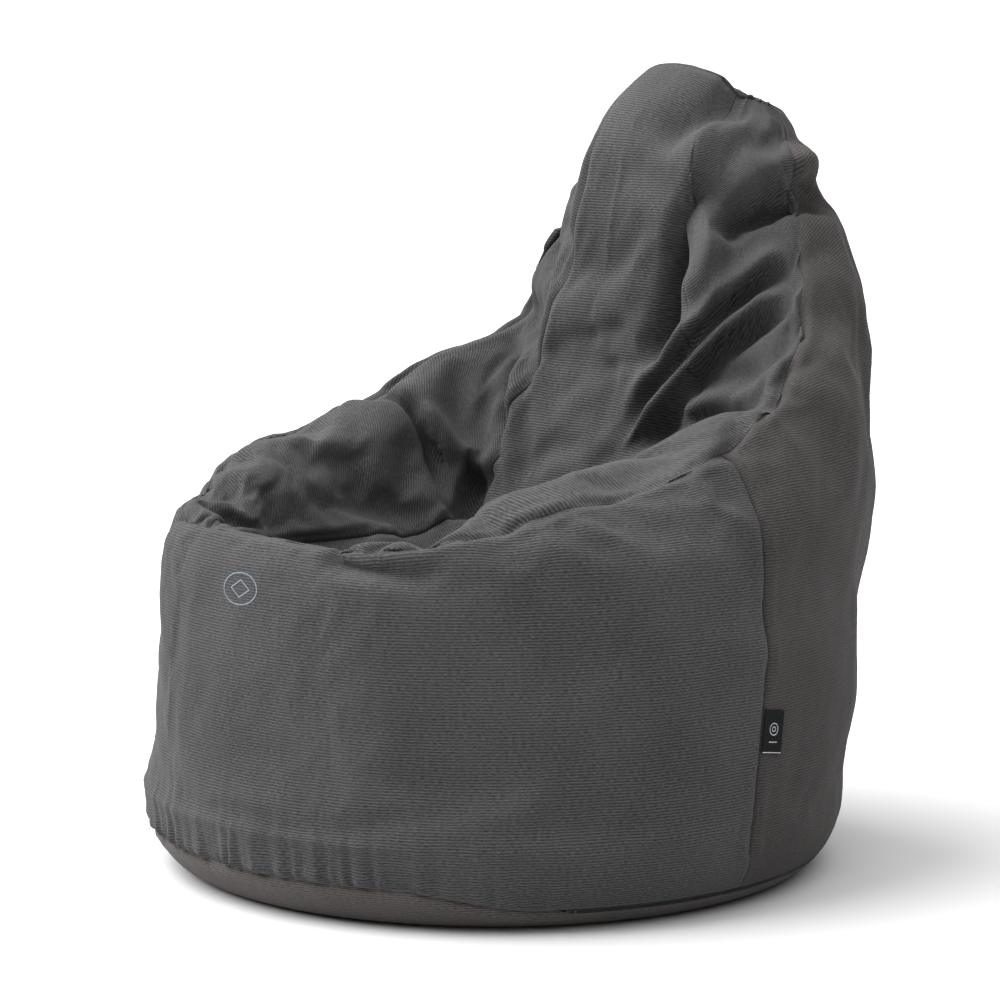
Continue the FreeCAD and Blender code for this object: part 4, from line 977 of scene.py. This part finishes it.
def laid_threads(name, lines, lays, spacing, length, width, material):
    """Short round threads along lines, by Geometry Nodes; lays has the way that each line's threads point."""
    mesh = bpy.data.meshes.new(name)
    counts = np.cumsum([0] + [len(line) for line in lines])
    edges = [(i, i + 1) for a, b in zip(counts, counts[1:]) for i in range(a, b - 1)]
    mesh.from_pydata(np.concatenate(lines).tolist(), edges, [])
    way = mesh.attributes.new("lay", "FLOAT_VECTOR", "POINT")
    way.data.foreach_set("vector", np.concatenate(lays).ravel())
    piece = bpy.data.objects.new(name, mesh)
    bpy.context.scene.collection.objects.link(piece)

    tree = bpy.data.node_groups.new(f"{name}_laying", "GeometryNodeTree")
    sockets = {
        label: tree.interface.new_socket(name=label, in_out="INPUT", socket_type=f"NodeSocket{kind}")
        for label, kind in (
            ("Geometry", "Geometry"), ("Spacing", "Float"), ("Size", "Vector"), ("Material", "Material")
        )
    }
    tree.interface.new_socket(name="Geometry", in_out="OUTPUT", socket_type="NodeSocketGeometry")
    given = add(tree, "NodeGroupInput").outputs
    path = add(tree, "GeometryNodeMeshToCurve", {"Mesh": given["Geometry"]}).outputs["Curve"]
    path = add(tree, "GeometryNodeResampleCurve", {"Curve": path, "Length": given["Spacing"]}, mode="LENGTH")
    lay = add(tree, "GeometryNodeInputNamedAttribute", {"Name": "lay"}, data_type="FLOAT_VECTOR")
    pointed = {"Vector": lay.outputs["Attribute"]}
    turned = add(tree, "FunctionNodeAlignRotationToVector", pointed, axis="Z").outputs["Rotation"]
    thread = add(tree, "GeometryNodeMeshUVSphere", {"Segments": 6, "Rings": 4, "Radius": 0.5}).outputs["Mesh"]
    laid = add(
        tree,
        "GeometryNodeInstanceOnPoints",
        {"Points": path.outputs["Curve"], "Instance": thread, "Rotation": turned, "Scale": given["Size"]},
    ).outputs["Instances"]
    laid = add(tree, "GeometryNodeRealizeInstances", {"Geometry": laid}).outputs["Geometry"]
    laid = add(tree, "GeometryNodeSetShadeSmooth", {"Geometry": laid}).outputs["Geometry"]
    laid = add(tree, "GeometryNodeSetMaterial", {"Geometry": laid, "Material": given["Material"]})
    tree.links.new(laid.outputs["Geometry"], add(tree, "NodeGroupOutput").inputs["Geometry"])

    laying = piece.modifiers.new("laying", "NODES")
    laying.node_group = tree
    laying[sockets["Spacing"].identifier] = spacing
    laying[sockets["Size"].identifier] = (width, width, length)
    laying[sockets["Material"].identifier] = material
    finished = bpy.data.meshes.new_from_object(piece.evaluated_get(bpy.context.evaluated_depsgraph_get()))
    piece.modifiers.clear()
    piece.data = finished
    finished.name = name
    bpy.data.meshes.remove(mesh)
    return piece


def fine_grain(name, dark, light, roughness, grain, depth, **values):
    """A material with a fine grain of the given size, in metres, on the piece's own coordinates."""
    material, tree, shader = surface(name, roughness, **values)
    place = add(tree, "ShaderNodeTexCoord").outputs["Object"]
    grained = {"Vector": place, "Scale": 1 / grain, "Detail": 3.0}
    specks = add(tree, "ShaderNodeTexNoise", grained).outputs["Fac"]
    tone = blended(tree, specks, dark, light)
    tree.links.new(tone, shader.inputs["Base Color"])
    relief = add(tree, "ShaderNodeBump", {"Height": specks, "Strength": 0.5, "Distance": depth})
    tree.links.new(relief.outputs["Normal"], shader.inputs["Normal"])
    return material


# Nylon monofilament is smooth and a little glossy; zip tape is a fine matt twill; the metal is painted zinc.
black_nylon = fine_grain("black_nylon_monofilament", "#161616", "#262627", 0.35, 0.002, 0.00005, IOR=1.53)
white_nylon = fine_grain("white_nylon_monofilament", "#dededb", "#efefec", 0.38, 0.002, 0.00005, IOR=1.53)
TWILL_GRAIN, TWILL_DEPTH = 0.0007, 0.0002
black_twill = fine_grain(
    "black_polyester_zip_tape", "#19191a", "#323234", 0.85, TWILL_GRAIN, TWILL_DEPTH, Sheen_Weight=0.1
)
white_twill = fine_grain(
    "white_polyester_zip_tape", "#d6d6d2", "#ededea", 0.85, TWILL_GRAIN, TWILL_DEPTH, Sheen_Weight=0.1
)
painted_zinc = fine_grain("black_painted_zinc", "#1b1b1c", "#2b2b2c", 0.38, 0.0015, 0.00004, Coat_Weight=0.3)
plated_zinc = fine_grain("nickel_plated_zinc", "#8f8f8c", "#b4b4b0", 0.3, 0.0015, 0.00003, Metallic=1.0)

zip_turn = math.acos(1 - ZIP_HEIGHT / BELLY_HEIGHT)
zip_radius = BELLY_RADIUS - FOOT_REACH * (1 - math.sin(zip_turn))
up_foot = np.array([FOOT_REACH * math.cos(zip_turn), BELLY_HEIGHT * math.sin(zip_turn)])
up_foot /= np.linalg.norm(up_foot)
out_foot = np.array([up_foot[1], -up_foot[0]])
coil_turns = np.radians(np.linspace(ZIP_FIRST + STOP_TURN, ZIP_LAST - STOP_TURN, 240))
for name, side in (("upper", 1), ("lower", -1)):
    ring = np.array([zip_radius, ZIP_HEIGHT]) - out_foot * COIL_SINK
    ring = ring + up_foot * side * (COIL_GAP + COIL_WIDTH) / 2
    line, lay = (
        np.stack([np.sin(coil_turns) * out, -np.cos(coil_turns) * out, np.full(len(coil_turns), up)], -1)
        for out, up in (ring, up_foot)
    )
    coil = laid_threads(f"wound_coil_{name}", [line], [lay], COIL_PITCH, COIL_WIDTH, COIL_WIRE, black_nylon)
    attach(coil, "bag")
    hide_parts(f"zip_coil_{name}")

kept_finishes = {
    black_twill: ["zip_tape_upper", "zip_tape_lower"],
    painted_zinc: ["zip_slider", "zip_pull", "zip_open_stop", "zip_closed_stop"],
    white_twill: ["liner_zip_tape_upper", "liner_zip_tape_lower"],
    white_nylon: ["liner_zip_coil_upper", "liner_zip_coil_lower"],
    plated_zinc: ["liner_zip_slider", "liner_zip_open_stop", "liner_zip_closed_stop"],
}
for finish, names in kept_finishes.items():
    for name in names:
        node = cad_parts[name]
        if not node.material_slots:
            node.data.materials.append(finish)
        for place in node.material_slots:
            place.material = finish


# --------------------------------------------------------------------------------------------------------
# The woven label: a satin ribbon folded in half and caught in the side seam, with a plain ring woven into
# it. The care label is one white ribbon inside the cover.
# --------------------------------------------------------------------------------------------------------

FLAG_WIDTH, FLAG_HEIGHT, FLAG_THICKNESS, FLAG_GAP = 0.030, 0.046, 0.0009, 0.00035
FLAG_MIDDLE = 0.190  # height above the floor
FLAG_RIPPLE = 0.00025
RING_RADIUS, RING_RISE = 0.0062, 0.003
BAR_HALF, BAR_DROP, EDGE_DROP, EDGE_MARGIN = 0.006, 0.0105, 0.0215, 0.001
LABEL_SPACING, LABEL_STITCH, LABEL_THREAD = 0.0005, 0.0012, 0.00045

heights = np.linspace(0, 1, 2001)
seam_line = wall(np.full(len(heights), SIDE_SEAM), heights)
flag_v = float(np.interp(FLAG_MIDDLE, seam_line[:, 2], heights))
NUDGE = 1e-4
flag_root = wall(SIDE_SEAM, flag_v)
flag_up = wall(SIDE_SEAM, flag_v + NUDGE) - wall(SIDE_SEAM, flag_v - NUDGE)
flag_up /= np.linalg.norm(flag_up)
flag_back = wall(SIDE_SEAM + NUDGE, flag_v) - wall(SIDE_SEAM - NUDGE, flag_v)
flag_back -= flag_up * (flag_back @ flag_up)
flag_back /= np.linalg.norm(flag_back)
flag_out = np.cross(flag_back, flag_up)


def on_flag(back, out, up):
    return flag_root + flag_back * back + flag_out * (FLAG_GAP + out) + flag_up * up


half = FLAG_THICKNESS / 2
bend_turns = np.linspace(-1.4, 1.4, 7)
bend = [(FLAG_WIDTH - half + half * math.cos(a), half + half * math.sin(a)) for a in bend_turns]
outline = [(s * (FLAG_WIDTH - half), 0.0) for s in np.linspace(0, 1, 9)]
outline += bend + [(s * (FLAG_WIDTH - half), FLAG_THICKNESS) for s in np.linspace(1, 0, 9)]
rows = np.linspace(-FLAG_HEIGHT / 2, FLAG_HEIGHT / 2, 15)
flag_points, flag_faces, around_flag = [], [], len(outline)
for up in rows:
    for back, out in outline:
        ripple = FLAG_RIPPLE * math.sin(up / 0.009) * back / FLAG_WIDTH
        flag_points.append(on_flag(back, out + abs(ripple), up))
for low in range(0, (len(rows) - 1) * around_flag, around_flag):
    high = low + around_flag
    for k in range(around_flag):
        after = (k + 1) % around_flag
        flag_faces.append([low + k, low + after, high + after, high + k])
flag_mesh = bpy.data.meshes.new("folded_label")
ends = [list(range(around_flag))[::-1], [(len(rows) - 1) * around_flag + k for k in range(around_flag)]]
flag_mesh.from_pydata([tuple(p) for p in flag_points], [], flag_faces + ends)
tidy = bmesh.new()
tidy.from_mesh(flag_mesh)
bmesh.ops.recalc_face_normals(tidy, faces=tidy.faces)
tidy.to_mesh(flag_mesh)
tidy.free()
black_satin = fine_grain(
    "black_woven_satin", "#060708", "#101113", 0.6, 0.0006, 0.00015, Specular_IOR_Level=0.1
)
label_flag = bpy.data.objects.new("folded_label", flag_mesh)
bpy.context.scene.collection.objects.link(label_flag)
flag_mesh.materials.append(black_satin)
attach(label_flag, "label_flap")
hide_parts("side_label")

grey_thread = fine_grain(
    "light_grey_polyester_thread", "#a9adb2", "#d2d5d9", 0.55, 0.0008, 0.0001, Sheen_Weight=0.2
)
ring_turns = np.linspace(0, 2 * math.pi, 49)
face_out = FLAG_THICKNESS + 0.0001
middle_back = FLAG_WIDTH * 0.52


def flag_line(places):
    """A line over the label's outer face and the threads' way across it."""
    line = np.array([on_flag(back, face_out, up) for back, up in places])
    along = np.gradient(line, axis=0)
    across = np.cross(along, flag_out)
    return line, across / np.linalg.norm(across, axis=1, keepdims=True)


def flag_ring(radius):
    places = [(middle_back + radius * math.cos(a), RING_RISE + radius * math.sin(a)) for a in ring_turns]
    return flag_line(places)


flag_lines = [
    flag_ring(RING_RADIUS),
    flag_ring(0.4 * RING_RADIUS),
    flag_line([(back, -BAR_DROP) for back in np.linspace(middle_back - BAR_HALF, middle_back + BAR_HALF, 9)]),
    flag_line([(back, -EDGE_DROP) for back in np.linspace(EDGE_MARGIN, FLAG_WIDTH - EDGE_MARGIN, 20)]),
]
flag_threads = laid_threads(
    "label_threads",
    [line for line, lay in flag_lines],
    [lay for line, lay in flag_lines],
    LABEL_SPACING,
    LABEL_STITCH,
    LABEL_THREAD,
    grey_thread,
)
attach(flag_threads, "label_flap")

CARE_WIDTH, CARE_LENGTH, CARE_THICKNESS, CARE_GAP = 0.030, 0.060, 0.0003, 0.0009
care_low, care_high = (np.array(corner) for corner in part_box("care_label"))
care_middle = Vector((care_low + care_high) / 2)
found, care_out, _, _ = cover_bvh.find_nearest(care_middle)
care_right = Vector((0, 0, 1)).cross(care_out).normalized()
care_up = care_out.cross(care_right)
care_columns, care_rows = 9, 17
care_points = []
for y in np.linspace(-CARE_LENGTH / 2, CARE_LENGTH / 2, care_rows):
    for x in np.linspace(-CARE_WIDTH / 2, CARE_WIDTH / 2, care_columns):
        place, out, _, _ = cover_bvh.find_nearest(found + care_right * x + care_up * y)
        care_points.append(place - out * (COVER_THICKNESS + CARE_GAP))
care_ids = np.arange(care_rows * care_columns).reshape(care_rows, care_columns)
care_faces = np.stack([care_ids[:-1, :-1], care_ids[:-1, 1:], care_ids[1:, 1:], care_ids[1:, :-1]], -1)
care_faces = care_faces.reshape(-1, 4)
care_uv = np.zeros((len(care_faces), 4, 2))
care_points = np.array([tuple(point) for point in care_points])
care_piece = cloth_piece("care_ribbon", care_points, care_faces, care_uv, CARE_THICKNESS)
white_satin = fine_grain("white_woven_satin", "#dcdcda", "#f2f2f0", 0.5, 0.0006, 0.0001, Sheen_Weight=0.15)
care_piece.data.materials.clear()
care_piece.data.materials.append(white_satin)
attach(care_piece, "bag")
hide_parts("care_label")


# --------------------------------------------------------------------------------------------------------
# The embroidered motif on the front: blue-grey rayon thread in satin stitch, a ring with a diamond in it,
# worked straight into the cover.
# --------------------------------------------------------------------------------------------------------

MOTIF_HALF_WIDTH, MOTIF_HALF_HEIGHT = 0.0255, 0.0165
STITCH_SPACING, STITCH_LENGTH, STITCH_THREAD = 0.0006, 0.0018, 0.0007

blue_rayon = fine_grain("blue_grey_rayon_thread", "#5b6773", "#7b8794", 0.5, 0.001, 0.0001, Sheen_Weight=0.3)
motif_low, motif_high = (np.array(corner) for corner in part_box("front_motif"))
motif_middle, motif_out, _, _ = cover_bvh.find_nearest(Vector((motif_low + motif_high) / 2))
motif_right = Vector((0, 0, 1)).cross(motif_out).normalized()
motif_up = motif_out.cross(motif_right)


def worked(places):
    """A line of satin stitches on the cover, and the stitches' way across it."""
    line, outs = [], []
    for x, y in places:
        place, out, _, _ = cover_bvh.find_nearest(motif_middle + motif_right * x + motif_up * y)
        line.append(tuple(place + out * 0.0002))
        outs.append(tuple(out))
    line = np.array(line)
    across = np.cross(np.gradient(line, axis=0), np.array(outs))
    return line, across / np.linalg.norm(across, axis=1, keepdims=True)


oval_turns = np.linspace(0, 2 * math.pi, 97)
oval = [(MOTIF_HALF_WIDTH * math.cos(a), MOTIF_HALF_HEIGHT * math.sin(a)) for a in oval_turns]
corners = [(0.55, 0), (0, 0.55), (-0.55, 0), (0, -0.55), (0.55, 0)]
diamond = [
    (MOTIF_HALF_WIDTH * (a[0] + (b[0] - a[0]) * s), MOTIF_HALF_HEIGHT * (a[1] + (b[1] - a[1]) * s))
    for a, b in zip(corners, corners[1:])
    for s in np.linspace(0, 1, 13)[: 13 if b == corners[-1] else 12]
]
worked_lines = [worked(oval), worked(diamond)]
motif = laid_threads(
    "embroidered_motif",
    [line for line, lay in worked_lines],
    [lay for line, lay in worked_lines],
    STITCH_SPACING,
    STITCH_LENGTH,
    STITCH_THREAD,
    blue_rayon,
)
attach(motif, "bag")
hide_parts("front_motif")


# --------------------------------------------------------------------------------------------------------
# The studio: a matt white floor, a white wall far away with a bright ceiling over it, one large soft light
# from the upper left, and the camera.
# --------------------------------------------------------------------------------------------------------

FLOOR_SIZE, FLOOR_LEVEL = 60.0, -0.0005
floor_mesh = bpy.data.meshes.new("studio_floor")
floor_corners = [
    (x * FLOOR_SIZE, y * FLOOR_SIZE, FLOOR_LEVEL) for x, y in ((-1, -1), (1, -1), (1, 1), (-1, 1))
]
floor_mesh.from_pydata(floor_corners, [], [(0, 1, 2, 3)])
studio_floor = bpy.data.objects.new("studio_floor", floor_mesh)
bpy.context.scene.collection.objects.link(studio_floor)
matt_white, tree, shader = surface("matt_white_paint", 0.9, Specular_IOR_Level=0.1)
place = add(tree, "ShaderNodeTexCoord").outputs["Object"]
grain = add(tree, "ShaderNodeTexNoise", {"Vector": place, "Scale": 3.0}).outputs["Fac"]
tone = blended(tree, grain, "#c5c5c5", "#c9c9c9")
tree.links.new(tone, shader.inputs["Base Color"])
studio_floor.data.materials.append(matt_white)

world = bpy.data.worlds.new("studio")
world.use_nodes = True
sky = world.node_tree
way = add(sky, "ShaderNodeTexCoord").outputs["Generated"]
level = add(sky, "ShaderNodeSeparateXYZ", {0: way}).outputs["Z"]
level = add(sky, "ShaderNodeMath", {0: level}, operation="ABSOLUTE").outputs[0]


def light_band(low, high, at_low, at_high):
    """Light that changes from one strength to another between two levels, 0 at the horizon and 1 overhead."""
    levels = {"Value": level, "From Min": low, "From Max": high, "To Min": at_low, "To Max": at_high}
    return add(sky, "ShaderNodeMapRange", levels).outputs["Result"]


# A white wall goes round the studio at the floor's far edge, dark above it, and the ceiling is bright.
white_wall = light_band(0.04, 0.12, 1.1, 0.08)
bright_ceiling = light_band(0.35, 1.0, 0.0, 2.5)
both = add(sky, "ShaderNodeMath", {0: white_wall, 1: bright_ceiling}, operation="ADD")
sky.nodes["Background"].inputs["Color"].default_value = (1.0, 1.0, 1.0, 1.0)
sky.links.new(both.outputs[0], sky.nodes["Background"].inputs["Strength"])
bpy.context.scene.world = world

TARGET = Vector((0, 0.027, 0.380))
AZIMUTH, ELEVATION, DISTANCE = math.radians(45), math.radians(8), 4.0
LIGHT_AZIMUTH, LIGHT_ELEVATION = AZIMUTH + math.radians(-98), math.radians(49)


def seen_from(azimuth, elevation, distance):
    way = (
        math.sin(azimuth) * math.cos(elevation),
        -math.cos(azimuth) * math.cos(elevation),
        math.sin(elevation),
    )
    return TARGET + distance * Vector(way)


def aimed(name, data, place):
    made = bpy.data.objects.new(name, data)
    made.location = place
    made.rotation_euler = (TARGET - place).to_track_quat("-Z", "Y").to_euler()
    bpy.context.scene.collection.objects.link(made)
    return made


sun = bpy.data.lights.new("window_light", "SUN")
sun.energy, sun.angle = 5.8, math.radians(62)
aimed("window_light", sun, seen_from(LIGHT_AZIMUTH, LIGHT_ELEVATION, DISTANCE))

lens = bpy.data.cameras.new("studio_camera")
lens.sensor_width = 36.0
lens.lens = 130.03
lens.shift_x, lens.shift_y = -0.01129, 0.01171
bpy.context.scene.camera = aimed("studio_camera", lens, seen_from(AZIMUTH, ELEVATION, DISTANCE))

bpy.context.scene.view_settings.view_transform = "Standard"
